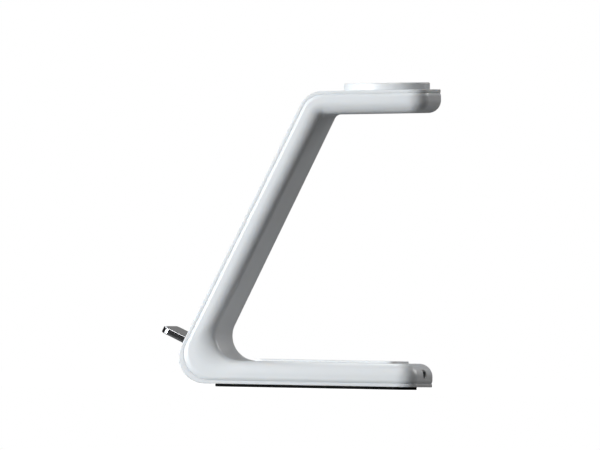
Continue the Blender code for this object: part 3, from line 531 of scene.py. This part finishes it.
def new_look(name):
    """Empty node material with its shader, and Object coordinates in metres."""
    made = bpy.data.materials.new(name)
    made.use_nodes = True
    tree = made.node_tree
    place = tree.nodes.new("ShaderNodeTexCoord").outputs["Object"]
    return made, tree, tree.nodes["Principled BSDF"], place


def fill(node, values):
    """Sets constants on a node's own sockets."""
    for socket, value in values.items():
        node.inputs[socket].default_value = value


def noise(tree, place, scale, detail=2.0, roughness=0.5):
    """Noise over the object's place, with a scale in waves for each metre."""
    node = tree.nodes.new("ShaderNodeTexNoise")
    fill(node, {"Scale": scale, "Detail": detail, "Roughness": roughness})
    tree.links.new(place, node.inputs["Vector"])
    return node.outputs["Fac"]


def spread(tree, value, low, high):
    """Passes a value from 0 to 1 on to a range."""
    node = tree.nodes.new("ShaderNodeMapRange")
    fill(node, {"To Min": low, "To Max": high})
    tree.links.new(value, node.inputs["Value"])
    return node.outputs["Result"]


def tint(tree, value, first, second):
    """Mixes two colours by a value."""
    node = tree.nodes.new("ShaderNodeMix")
    node.data_type = "RGBA"
    fill(node, {"A": (*first, 1.0), "B": (*second, 1.0)})
    tree.links.new(value, node.inputs["Factor"])
    return node.outputs["Result"]


def emboss(tree, shader, height, depth):
    """Bumps a shader by a height from 0 to 1, whose full depth is in metres."""
    node = tree.nodes.new("ShaderNodeBump")
    fill(node, {"Strength": 1.0, "Distance": depth})
    tree.links.new(height, node.inputs["Height"])
    tree.links.new(node.outputs["Normal"], shader.inputs["Normal"])


def mottle(tree, shader, pattern, tone, contrast, gloss, roughness, change):
    """Colour that a pattern takes between two factors on a tone, and roughness that a noise changes."""
    first, second = (tuple(min(1.0, part * factor) for part in tone) for factor in contrast)
    tree.links.new(tint(tree, pattern, first, second), shader.inputs["Base Color"])
    low = max(SMOOTHEST, roughness - change)
    tree.links.new(spread(tree, gloss, low, roughness + change), shader.inputs["Roughness"])


def moulded(name, tone, roughness, grain, depth, milk=0.0):
    """Moulded plastic: a fine even grain, faint flow marks in its colour and slightly uneven gloss."""
    made, tree, shader, place = new_look(name)
    flow = noise(tree, place, FLOW_WAVES, 3.0)
    gloss = noise(tree, place, GLOSS_WAVES, 4.0)
    mottle(tree, shader, flow, tone, (0.985, 1.015), gloss, roughness, 0.03)
    fill(shader, {"IOR": 1.49, "Subsurface Weight": milk})
    fill(shader, {"Subsurface Radius": (1.0, 0.9, 0.8), "Subsurface Scale": 0.0008})
    emboss(tree, shader, noise(tree, place, grain, 2.0, 0.6), depth)
    return made


def metal(name, tone, roughness, brush=(1.0, 1.0, 1.0)):
    """Bare metal: fine tool marks that may run one way, and slightly uneven gloss."""
    made, tree, shader, place = new_look(name)
    fill(shader, {"Metallic": 1.0})
    mapping = tree.nodes.new("ShaderNodeMapping")
    fill(mapping, {"Scale": brush})
    tree.links.new(place, mapping.inputs["Vector"])
    marks = noise(tree, mapping.outputs["Vector"], MARK_WAVES, 3.0)
    mottle(tree, shader, marks, tone, (0.97, 1.03), noise(tree, place, TARNISH_WAVES, 3.0), roughness, 0.03)
    emboss(tree, shader, marks, MARK_DEPTH)
    return made


def wound(name, tone, centre, tilt, pitch):
    """Enamelled wire in turns about a tilted axis: a wave of the distance from it, in colour and bump. Its
    colour is painted shade in the grooves between turns and a painted highlight on their crests.
    """
    made, tree, shader, place = new_look(name)
    fill(shader, {"Metallic": 1.0})
    mapping = tree.nodes.new("ShaderNodeMapping")
    start = Matrix.Rotation(-tilt, 3, "X") @ Vector(centre) * -1.0
    fill(mapping, {"Rotation": (-tilt, 0.0, 0.0), "Location": start})
    tree.links.new(place, mapping.inputs["Vector"])
    turns = tree.nodes.new("ShaderNodeTexWave")
    turns.wave_type = "RINGS"
    turns.rings_direction = "Z"
    fill(turns, {"Scale": 2.0 * math.pi / (WAVE_FACTOR * pitch), "Distortion": 0.0})
    tree.links.new(mapping.outputs["Vector"], turns.inputs["Vector"])
    gloss = noise(tree, place, TARNISH_WAVES, 3.0)
    # Painted shade and highlight: the colour goes from 0.35 of the copper tone in the grooves between turns
    # to 1.1 of it on their crests.
    mottle(tree, shader, turns.outputs["Fac"], tone, (0.35, 1.1), gloss, WIRE_ROUGHNESS, 0.05)
    emboss(tree, shader, turns.outputs["Fac"], pitch * WIRE_RELIEF)
    return made


def look(name):
    """The material of a slot, made once: its maker, tone, roughness, and waves and depth of its grain."""
    found = bpy.data.materials.get("stand_" + name)
    if found:
        return found
    finish = bpy.context.scene.stand_finishes
    milk = finish.milkiness
    maker, *values = {
        "white_plastic": (moulded, finish.white, finish.white_roughness, 5200.0, 0.0000012, milk),
        "soft_white_plastic": (moulded, finish.soft_white, finish.soft_roughness, 3600.0, 0.000003, milk),
        "black_rubber": (moulded, finish.rubber, 0.85, 2600.0, 0.00002),
        "polished_metal": (metal, finish.polished, finish.polished_roughness, (1.0, 0.06, 0.06)),
        "steel": (metal, finish.steel, 0.32),
        "gold_contacts": (metal, finish.gold, 0.2),
        "ferrite": (moulded, finish.ferrite, 0.6, 1800.0, 0.00001),
        "green_laminate": (moulded, finish.laminate, 0.4, 2400.0, 0.000006),
        "black_moulding": (moulded, finish.black, 0.5, 3000.0, 0.000006),
        "lead_sleeve": (moulded, finish.sleeve, 0.5, 2200.0, 0.000008),
    }[name]
    return maker("stand_" + name, *values)


def node_middle(node):
    """Middle of a CAD node's box."""
    low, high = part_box(node)
    return (np.array(low) + np.array(high)) / 2


def half_across(node):
    """Half the width of a CAD node's box."""
    low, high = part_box(node)
    return (high[0] - low[0]) / 2


class StandMaker(Operator):
    """Shared by the operators below, which make pieces of the stand."""

    bl_options = {"REGISTER", "UNDO"}

    def read(self, context):
        """Sizes of the band and the pieces, the gap between pieces and the cover's wall."""
        self.sizes = context.scene.stand_band
        self.pieces = context.scene.stand_pieces
        self.band = Band(self.sizes)
        return self.sizes, self.pieces, self.sizes.gap, self.sizes.cover_thickness

    def on_base(self, body, x=0.0, y=0.0):
        """A body on the base, with local Z as the depth over the underside."""
        return seated(body, (x, y, self.band.underside), (0.0, 1.0, 0.0), (0.0, 0.0, 1.0))

    def on_column(self, body, x=0.0, height=0.0):
        """A body on the column's front, with its height over the ledge's top."""
        band = self.band
        up = band.column_up * (self.pieces.ledge_height + height)
        origin = band.heel_corner + up + np.array((x, 0.0, 0.0))
        return seated(body, origin, band.column_up, band.column_out)

    def on_arm(self, body):
        """A body on the arm's top, about the puck's axis."""
        band = self.band
        along = band.arm_length - self.pieces.puck_end_margin - self.pieces.puck_radius
        return seated(body, band.crown_corner + band.arm_along * along, band.arm_along, band.arm_out)

    def column_height(self, node):
        """Height of a node's middle over the ledge's top, along the column."""
        band = self.band
        return (node_middle(node) - band.heel_corner) @ band.column_up - self.pieces.ledge_height

    def over(self, node, body):
        """A body on the base, about a node's upright axis."""
        x, y, _ = node_middle(node)
        return self.on_base(body, x, y)

    def behind(self, node, body):
        """A body on the column's front, about the axis of a node behind it."""
        return self.on_column(body, node_middle(node)[0], self.column_height(node))

    def coil_ring(self, node, low, high):
        """Ring round a coil, between two heights."""
        bore = half_across(node) + self.sizes.gap
        outer = bore + self.pieces.coil_ring_wall
        return turned(((bore, low), (outer, low), (outer, high), (bore, high)), RING_STEPS, True)

    def recess(self, node, corner, low, high):
        """Body that cuts the recess of a pad, between two depths."""
        gap = self.sizes.gap
        near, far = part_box(node)
        return self.on_base(slab(
            (near[0] - gap, near[1] - gap), (far[0] + gap, far[1] + gap), corner + gap,
            ((0.0, low), (0.0, high)),
        ))

    def tongue(self):
        """Half the width of the ledge's tongue, and its lower and upper height over the ledge's top."""
        pieces = self.pieces
        middle = -pieces.ledge_thickness / 2
        half = pieces.tongue_thickness / 2
        return pieces.ledge_width / 2 - pieces.tongue_inset, middle - half, middle + half


class STAND_OT_outer_cover(StandMaker):
    """Bent plate with a round edge, a lip, the recess of the foot pad and the seats of what it carries"""

    bl_idname = "stand.outer_cover"
    bl_label = "Outer cover"

    def section(self):
        """Insets and depths round the edge: round, side, round back to the inner face, then the lip."""
        sizes = self.sizes
        wall = sizes.cover_thickness
        side = sizes.cover_inset
        small = sizes.cover_edge_round
        fine = sizes.groove_edge_round
        near = sizes.housing_wall + sizes.gap
        far = near + sizes.lip_thickness
        top = wall + sizes.lip_height
        return [
            (side + small + SUPPORT, 0.0),
            *quarter_round(side, 0.0, small, small, sizes.round_steps),
            *quarter_round(side, wall, fine, -fine, sizes.round_steps)[::-1],
            (near, wall), (near, top), (far, top), (far, wall),
        ]

    def execute(self, context):
        sizes, pieces, gap, wall = self.read(context)
        shift = sizes.cover_inset - sizes.cover_end_inset
        cover = put("outer_cover_shell", skin(self.band.loops(self.section(), shift)))

        adds = []
        cuts = []
        for node in ("phone_coil_lower", "phone_coil_upper"):
            ring = self.coil_ring(node, -wall - pieces.coil_ring_height, -wall + gap)
            adds.append(self.on_column(ring, 0.0, self.column_height(node)))
        boss_end = -wall - pieces.ledge_boss_height
        deep = boss_end - gap - pieces.flange_thickness - OVERRUN
        for node in LEDGE_SCREWS:
            adds.append(self.behind(node, pin(pieces.boss_radius, boss_end, -wall + gap)))
            cuts.append(self.behind(node, pin(pieces.pilot_radius, deep, -wall)))
        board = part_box("main_circuit_board")[0]
        board_low = board[2] - self.band.underside
        screws = [node_middle("board_screw_" + side)[:2] for side in ("left", "right")]
        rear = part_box("usb_c_shell")[0][1] - abs(screws[0][1] - board[1])
        for x, y in screws + [(x, rear) for x, _ in screws]:
            adds.append(self.on_base(pin(POST_RADIUS, wall - gap, board_low - gap), x, y))
        for x, y in screws:
            cuts.append(self.on_base(pin(pieces.pilot_radius, wall - gap, board_low + OVERRUN), x, y))

        cuts.append(self.recess("foot_pad", pieces.foot_corner_radius, -OVERRUN, pieces.foot_recess_depth))
        neck = pieces.puck_radius - pieces.puck_flange_width
        cuts.append(self.on_arm(pin(neck + gap, -wall - OVERRUN, OVERRUN, pieces.round_steps)))
        half, low, high = self.tongue()
        slot = box((-half - gap, low - gap, -wall - OVERRUN), (half + gap, high + gap, OVERRUN))
        cuts.append(self.on_column(slot))

        holes = []
        drill = pieces.pilot_radius
        sink_top = wall + pieces.case_sink_height
        shoulder = pieces.foot_recess_depth + 2 * gap + SCREW_HEAD_HEIGHT
        for node in CASE_SCREWS:
            head = half_across(node) + gap
            adds.append(self.over(node, pin(pieces.boss_radius, pieces.foot_recess_depth + gap, sink_top)))
            holes.append(self.over(node, turned(
                ((head, -OVERRUN), (head, shoulder), (drill, shoulder), (drill, sink_top + OVERRUN)))))
        carve(cover, (("UNION", adds), ("DIFFERENCE", cuts), ("DIFFERENCE", holes)))
        dress(cover, "white_plastic", "outer_cover")
        return {"FINISHED"}


class STAND_OT_rear_housing(StandMaker):
    """Bent tray with a rounded groove edge, a large fillet round its back and the window of the port"""

    bl_idname = "stand.rear_housing"
    bl_label = "Rear housing"

    def section(self):
        """Insets and depths of the cavity's fillet and wall, the rim, the groove and the outer fillet.

        The groove draws in by one less the sine of an angle that grows evenly with height.
        The second list says how much less each row is drawn in at the ends, which is so in the groove alone.
        """
        sizes = self.sizes
        wide = sizes.inner_edge_fillet
        inner = wide - sizes.housing_wall
        bottom = sizes.thickness - wide
        cavity = quarter_round(sizes.housing_wall, bottom + inner, inner, -inner, sizes.round_steps)
        rim = sizes.cover_thickness + sizes.seam
        turn = np.linspace(0.0, QUARTER, sizes.round_steps + 1)
        drawn = 1.0 - np.sin(turn)
        risen = turn * 2 / math.pi
        groove = list(zip(sizes.groove_inset * drawn, rim + sizes.groove_round_height * risen))
        before = [(cavity[0][0] + SUPPORT, cavity[0][1]), *cavity, (sizes.housing_wall, rim)]
        after = [
            (0.0, groove[-1][1] + SUPPORT), (0.0, bottom - SUPPORT),
            *quarter_round(0.0, sizes.thickness, wide, -wide, sizes.round_steps * 2)[::-1],
            (wide + SUPPORT, sizes.thickness),
        ]
        shallower = (sizes.groove_inset - sizes.groove_end_inset) * drawn
        shift = np.concatenate((np.zeros(len(before)), shallower, np.zeros(len(after))))
        return before + groove + after, shift

    def execute(self, context):
        sizes, pieces, gap, wall = self.read(context)
        band = self.band
        deep = band.cavity_depth
        housing = put("rear_housing_shell", skin(band.loops(*self.section())))

        ring = self.coil_ring("earbud_coil", deep - pieces.coil_ring_height, deep + gap)
        adds = [self.over("earbud_coil", ring)]
        cuts = []
        sink_top = wall + pieces.case_sink_height
        for node in CASE_SCREWS:
            adds.append(self.over(node, pin(pieces.boss_radius, sink_top + gap, deep + gap)))
            cuts.append(self.over(node, pin(pieces.pilot_radius, sink_top - OVERRUN, deep - gap)))
        near = pieces.lead_spacing / 2 + pieces.lead_radius + gap
        far = near + pieces.rib_thickness
        middle = (self.column_height("phone_coil_lower") + self.column_height("phone_coil_upper")) / 2
        start = middle - pieces.rib_length / 2
        end = middle + pieces.rib_length / 2
        for left, right in ((near, far), (-far, -near)):
            rib = box((left, start, -deep - gap), (right, end, -deep + pieces.rib_height))
            adds.append(self.on_column(rib))

        floor = sizes.thickness - pieces.pad_recess_depth
        cuts.append(self.recess("earbud_pad", pieces.pad_corner_radius, floor, sizes.thickness + OVERRUN))
        verts, faces = skin(stadium(
            pieces.port_width + 2 * gap, pieces.port_height + 2 * gap,
            ((0.0, band.rear_end - sizes.housing_wall - OVERRUN), (0.0, band.rear_end + OVERRUN)),
        ))
        cuts.append((verts + (0.0, 0.0, node_middle("usb_c_shell")[2]), faces))
        carve(housing, (("UNION", adds), ("DIFFERENCE", cuts)))
        dress(housing, "white_plastic", "rear_housing")
        return {"FINISHED"}


class STAND_OT_watch_puck(StandMaker):
    """Round puck with a snap neck, and the dished charging face that lies in it"""

    bl_idname = "stand.watch_puck"
    bl_label = "Watch puck"

    def execute(self, context):
        sizes, pieces, gap, wall = self.read(context)
        foot = sizes.seam
        radius = pieces.puck_radius
        edge = pieces.puck_edge_round
        top = pieces.puck_stand_out
        low = -pieces.puck_neck_depth
        neck = radius - pieces.puck_flange_width
        bore = neck - pieces.puck_neck_wall
        seat = bore + pieces.puck_shelf_width
        face_edge = top - pieces.face_sink
        shelf = face_edge - pieces.face_thickness - gap
        profile = [
            (bore, low), (neck, low), (neck, foot), (radius, foot), (radius, foot + SUPPORT),
            (radius, top - edge - SUPPORT),
            *quarter_round(radius, top, -edge, -edge, PUCK_EDGE_STEPS)[::-1],
            *quarter_round(seat, top, PUCK_INNER_ROUND, -PUCK_INNER_ROUND, INNER_EDGE_STEPS),
            (seat, shelf), (bore, shelf),
        ]
        housing = put("watch_puck_rim", self.on_arm(turned(profile, pieces.round_steps, True)))
        half = pieces.puck_lug_width / 2
        verts, faces = box((-half, neck - gap, low), (half, neck + pieces.puck_lug_reach, -wall - gap))
        lugs = []
        for i in range(LUG_COUNT):
            turn = 2 * math.pi * i / LUG_COUNT + QUARTER
            across = (math.sin(turn), -math.cos(turn), 0.0)
            along = (math.cos(turn), math.sin(turn), 0.0)
            lugs.append(self.on_arm((verts @ np.array((across, along, (0.0, 0.0, 1.0))), faces)))
        carve(housing, (("UNION", lugs),))
        dress(housing, "white_plastic", "watch_puck_housing")

        # The face lies under its edge by the dish's depth times one less the square of the radius's share.
        radius = seat - gap
        across = radius * np.linspace(DISH_CENTRE, 1.0, DISH_ROWS)
        height = face_edge - pieces.face_dish_depth * (1.0 - (across / radius) ** 2)
        bowl = list(zip(across, height))
        under = list(zip(across, height - pieces.face_thickness))
        face = put("watch_charging_face", self.on_arm(turned(under + bowl[::-1], pieces.round_steps)))
        dress(face, "soft_white_plastic", "watch_puck_face")
        return {"FINISHED"}


class STAND_OT_phone_ledge(StandMaker):
    """Polished bar square to the column, with its tongue and flange"""

    bl_idname = "stand.phone_ledge"
    bl_label = "Phone ledge"

    def execute(self, context):
        _, pieces, gap, wall = self.read(context)
        edge = pieces.ledge_edge_round
        thick = pieces.ledge_thickness
        side = pieces.ledge_width / 2
        profile = [
            (edge + SUPPORT, 0.0),
            *quarter_round(0.0, 0.0, edge, edge, EDGE_STEPS),
            (0.0, edge + SUPPORT), (0.0, thick - edge - SUPPORT),
            *quarter_round(0.0, thick, edge, -edge, EDGE_STEPS)[::-1],
            (edge + SUPPORT, thick),
        ]
        verts, faces = slab(
            (-side, gap), (side, pieces.ledge_reach), edge * 1.5, profile,
            pieces.ledge_corner_radius, CORNER_STEPS,
        )
        bar = (verts[:, (0, 2, 1)] - (0.0, thick, 0.0), faces[:, ::-1])
        ledge = put("phone_ledge_bar", self.on_column(bar))
        half, low, high = self.tongue()
        front = -wall - pieces.ledge_boss_height - gap
        back = front - pieces.flange_thickness
        plate = self.on_column(box((-half, low, back), (half, high, gap + 2 * edge)))
        flange = self.on_column(box((-half, low, back), (half, low + pieces.flange_height, front)))
        pilot = pin(pieces.pilot_radius, back - OVERRUN, -wall)
        pilots = [self.behind(node, pilot) for node in LEDGE_SCREWS]
        carve(ledge, (("UNION", [plate]), ("UNION", [flange]), ("DIFFERENCE", pilots)))
        dress(ledge, "polished_metal", "phone_ledge")
        return {"FINISHED"}


class STAND_OT_pads(StandMaker):
    """Earbud pad on the base and foot pad under it"""

    bl_idname = "stand.pads"
    bl_label = "Pads"

    def execute(self, context):
        self.read(context)
        pieces = self.pieces
        low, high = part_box("earbud_pad")
        edge = pieces.pad_edge_round
        upper = quarter_round(0.0, high[2], edge, -edge, EDGE_STEPS)[::-1]
        profile = [(0.0, low[2]), *upper, (edge + SUPPORT, high[2])]
        pad = put("earbud_rest_pad", slab(low, high, pieces.pad_corner_radius, profile, steps=CORNER_STEPS))
        dress(pad, "soft_white_plastic", "earbud_pad")

        low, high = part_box("foot_pad")
        edge = pieces.foot_edge_round
        lower = quarter_round(0.0, low[2], edge, edge, EDGE_STEPS)
        profile = [(edge + SUPPORT, low[2]), *lower, (0.0, high[2])]
        foot = put("foot_rubber", slab(low, high, pieces.foot_corner_radius, profile, steps=CORNER_STEPS))
        dress(foot, "black_rubber", "foot_pad")
        return {"FINISHED"}


class STAND_OT_charging_port(StandMaker):
    """Round-ended metal shell of the port with a rolled front edge, and the contacts on its tongue"""

    bl_idname = "stand.charging_port"
    bl_label = "Charging port"

    def execute(self, context):
        self.read(context)
        pieces = self.pieces
        low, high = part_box("usb_c_shell")
        # The rolled edge is a half circle over the wall: inset by its cosine and place along Y by its sine.
        wall = pieces.port_wall
        turn = np.linspace(0.0, math.pi, LIP_STEPS + 1)
        lip = zip(wall / 2 * (1.0 - np.cos(turn)), high[1] - wall / 2 * (1.0 - np.sin(turn)))
        start = high[1] - 2 * wall
        places = [(0.0, low[1]), (0.0, start), *lip, (wall, start), (wall, low[1])]
        verts, faces = skin(stadium(pieces.port_width, pieces.port_height, places), True)
        shell = put("usb_c_metal_shell", (verts + (0.0, 0.0, (low[2] + high[2]) / 2), faces))
        dress(shell, "steel", "usb_c_shell")

        low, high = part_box("usb_c_tongue")
        half = pieces.contact_width / 2
        front = high[1] - pieces.contact_width
        back = front - pieces.contact_length
        bars = []
        for i in range(pieces.contact_count):
            x = (i - (pieces.contact_count - 1) / 2) * pieces.contact_pitch
            for bottom in (low[2] - pieces.contact_height, high[2] - SUPPORT):
                top = bottom + SUPPORT + pieces.contact_height
                bars.append(box((x - half, back, bottom), (x + half, front, top)))
        dress(put("usb_c_contacts", joined(bars)), "copper_wire", finish="gold_contacts")
        return {"FINISHED"}


class STAND_OT_inner_pieces(StandMaker):
    """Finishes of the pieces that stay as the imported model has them"""

    bl_idname = "stand.inner_pieces"
    bl_label = "Inner pieces"

    def execute(self, context):
        self.read(context)
        copper = context.scene.stand_finishes.copper
        shown = {name: node for name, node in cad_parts.items() if not node.hide_render}
        tilts = {
            "phone_coil_lower": self.sizes.column_angle,
            "phone_coil_upper": self.sizes.column_angle,
            "watch_coil": self.sizes.arm_rise,
            "earbud_coil": 0.0,
        }
        for name, tilt in tilts.items():
            made = wound("stand_" + name, copper, node_middle(name), tilt, self.pieces.wire_pitch)
            paint(shown.pop(name), made)
        finishes = {
            "steel": ("ledge_screw", "board_screw", "case_screw", "watch_magnet"),
            "ferrite": ("phone_ferrite", "earbud_ferrite", "watch_ferrite"),
            "green_laminate": ("main_circuit_board",),
            "black_moulding": ("charge_controller", "power_inductor", "filter_capacitor", "usb_c_tongue"),
            "lead_sleeve": ("phone_leads", "watch_leads", "earbud_leads"),
        }
        for finish, starts in finishes.items():
            for name in [name for name in shown if name.startswith(starts)]:
                paint(shown.pop(name), look(finish))
        if shown:
            raise RuntimeError("these nodes have no finish: " + ", ".join(sorted(shown)))
        return {"FINISHED"}


class STAND_OT_stage(StandMaker):
    """Pale floor, soft light and the camera at the picture's angle"""

    bl_idname = "stand.stage"
    bl_label = "Stage"

    def execute(self, context):
        stage = context.scene.stand_stage
        self.floor(stage)
        self.surround(context.scene)
        self.lights(stage)
        self.camera(context.scene, stage)
        return {"FINISHED"}

    def floor(self, stage):
        """Level square under the stand, which looks white to the camera where no shadow falls."""
        half = stage.floor_size / 2
        square = ((-half, -half, 0.0), (half, -half, 0.0), (half, half, 0.0), (-half, half, 0.0))
        floor = put("studio_floor", (square, ((0, 1, 2, 3),)))
        made, tree, shader, place = new_look("studio_floor")
        tone = stage.floor_tone
        pale = tint(tree, noise(tree, place, FLOOR_WAVES), (tone * 0.99,) * 3, (tone * 1.01,) * 3)
        tree.links.new(pale, shader.inputs["Base Color"])
        fill(shader, {"Roughness": 0.9, "Specular IOR Level": 0.0, "Emission Color": (1.0, 1.0, 1.0, 1.0)})
        rays = tree.nodes.new("ShaderNodeLightPath")
        tree.links.new(rays.outputs["Is Camera Ray"], shader.inputs["Emission Strength"])
        paint(floor, made)

    def surround(self, scene):
        """White to the camera and dim to everything else."""
        world = bpy.data.worlds.new("studio_surround")
        world.use_nodes = True
        tree = world.node_tree
        background = tree.nodes["Background"]
        rays = tree.nodes.new("ShaderNodeLightPath")
        strength = tree.nodes.new("ShaderNodeMapRange")
        fill(strength, {"To Min": scene.stand_stage.surround, "To Max": 1.0})
        tree.links.new(rays.outputs["Is Camera Ray"], strength.inputs["Value"])
        tree.links.new(strength.outputs["Result"], background.inputs["Strength"])
        fill(background, {"Color": (1.0, 1.0, 1.0, 1.0)})
        scene.world = world
        scene.view_settings.view_transform = "Standard"

    def lights(self, stage):
        """Soft boxes, each on a bearing round the stand and a height over level, aimed at its middle."""
        for name, bearing, height, size, power, tone in SOFT_BOXES:
            lamp = bpy.data.lights.new(name, "AREA")
            lamp.shape = "DISK"
            lamp.size = size
            lamp.energy = power * stage.light_level
            lamp.color = tone
            back = outward(math.radians(bearing), math.radians(height))
            aimed(name, lamp, stage, back, BOX_DISTANCE).visible_camera = False

    def camera(self, scene, stage):
        """A parallel view, as a very long lens gives, turned a little about its line of sight."""
        view = bpy.data.cameras.new("picture_camera")
        view.type = "ORTHO"
        view.ortho_scale = stage.view_width
        back = outward(stage.azimuth, stage.elevation)
        scene.camera = aimed("picture_camera", view, stage, back, stage.distance, stage.roll)


def aimed(name, data, stage, back, away, roll=0.0):
    """An object away from the stand's middle that looks back at it, turned about its view by a roll."""
    right = np.cross((0.0, 0.0, 1.0), back)
    right /= np.linalg.norm(right)
    up = np.cross(back, right)
    across = right * math.cos(roll) + up * math.sin(roll)
    upward = up * math.cos(roll) - right * math.sin(roll)
    place = np.array((0.0, stage.target_y, stage.target_z)) + back * away
    rows = np.column_stack((across, upward, back, place)).tolist()
    made = bpy.data.objects.new(name, data)
    made.matrix_world = Matrix((*rows, (0.0, 0.0, 0.0, 1.0)))
    bpy.context.collection.objects.link(made)
    return made


class STAND_PT_panel(Panel):
    """Lists what makes the stand and the sizes that it uses"""

    bl_label = "Charging stand"
    bl_idname = "STAND_PT_panel"
    bl_space_type = "VIEW_3D"
    bl_region_type = "UI"
    bl_category = "Stand"

    def draw(self, context):
        for maker in MAKERS:
            self.layout.operator(maker.bl_idname)
        for group_name, kind in GROUPS.items():
            column = self.layout.box().column()
            for name in kind.__annotations__:
                column.prop(getattr(context.scene, group_name), name)


GROUPS = {
    "stand_band": StandBandSizes,
    "stand_pieces": StandPieceSizes,
    "stand_finishes": StandFinishes,
    "stand_stage": StandStageSettings,
}
MAKERS = (
    STAND_OT_outer_cover,
    STAND_OT_rear_housing,
    STAND_OT_watch_puck,
    STAND_OT_phone_ledge,
    STAND_OT_pads,
    STAND_OT_charging_port,
    STAND_OT_inner_pieces,
    STAND_OT_stage,
)


def register():
    for name, group in GROUPS.items():
        bpy.utils.register_class(group)
        setattr(bpy.types.Scene, name, PointerProperty(type=group))
    for made in (*MAKERS, STAND_PT_panel):
        bpy.utils.register_class(made)


def unregister():
    for made in (STAND_PT_panel, *reversed(MAKERS)):
        bpy.utils.unregister_class(made)
    for name, group in reversed(GROUPS.items()):
        delattr(bpy.types.Scene, name)
        bpy.utils.unregister_class(group)


def corners(bounds):
    """A box as two plain lists."""
    return [[float(part) for part in corner] for corner in bounds]


def main():
    register()
    bpy.ops.stand.outer_cover()
    bpy.ops.stand.rear_housing()
    bpy.ops.stand.watch_puck()
    bpy.ops.stand.phone_ledge()
    bpy.ops.stand.pads()
    bpy.ops.stand.charging_port()
    bpy.ops.stand.inner_pieces()
    bpy.ops.stand.stage()


if __name__ == "__main__":
    main()
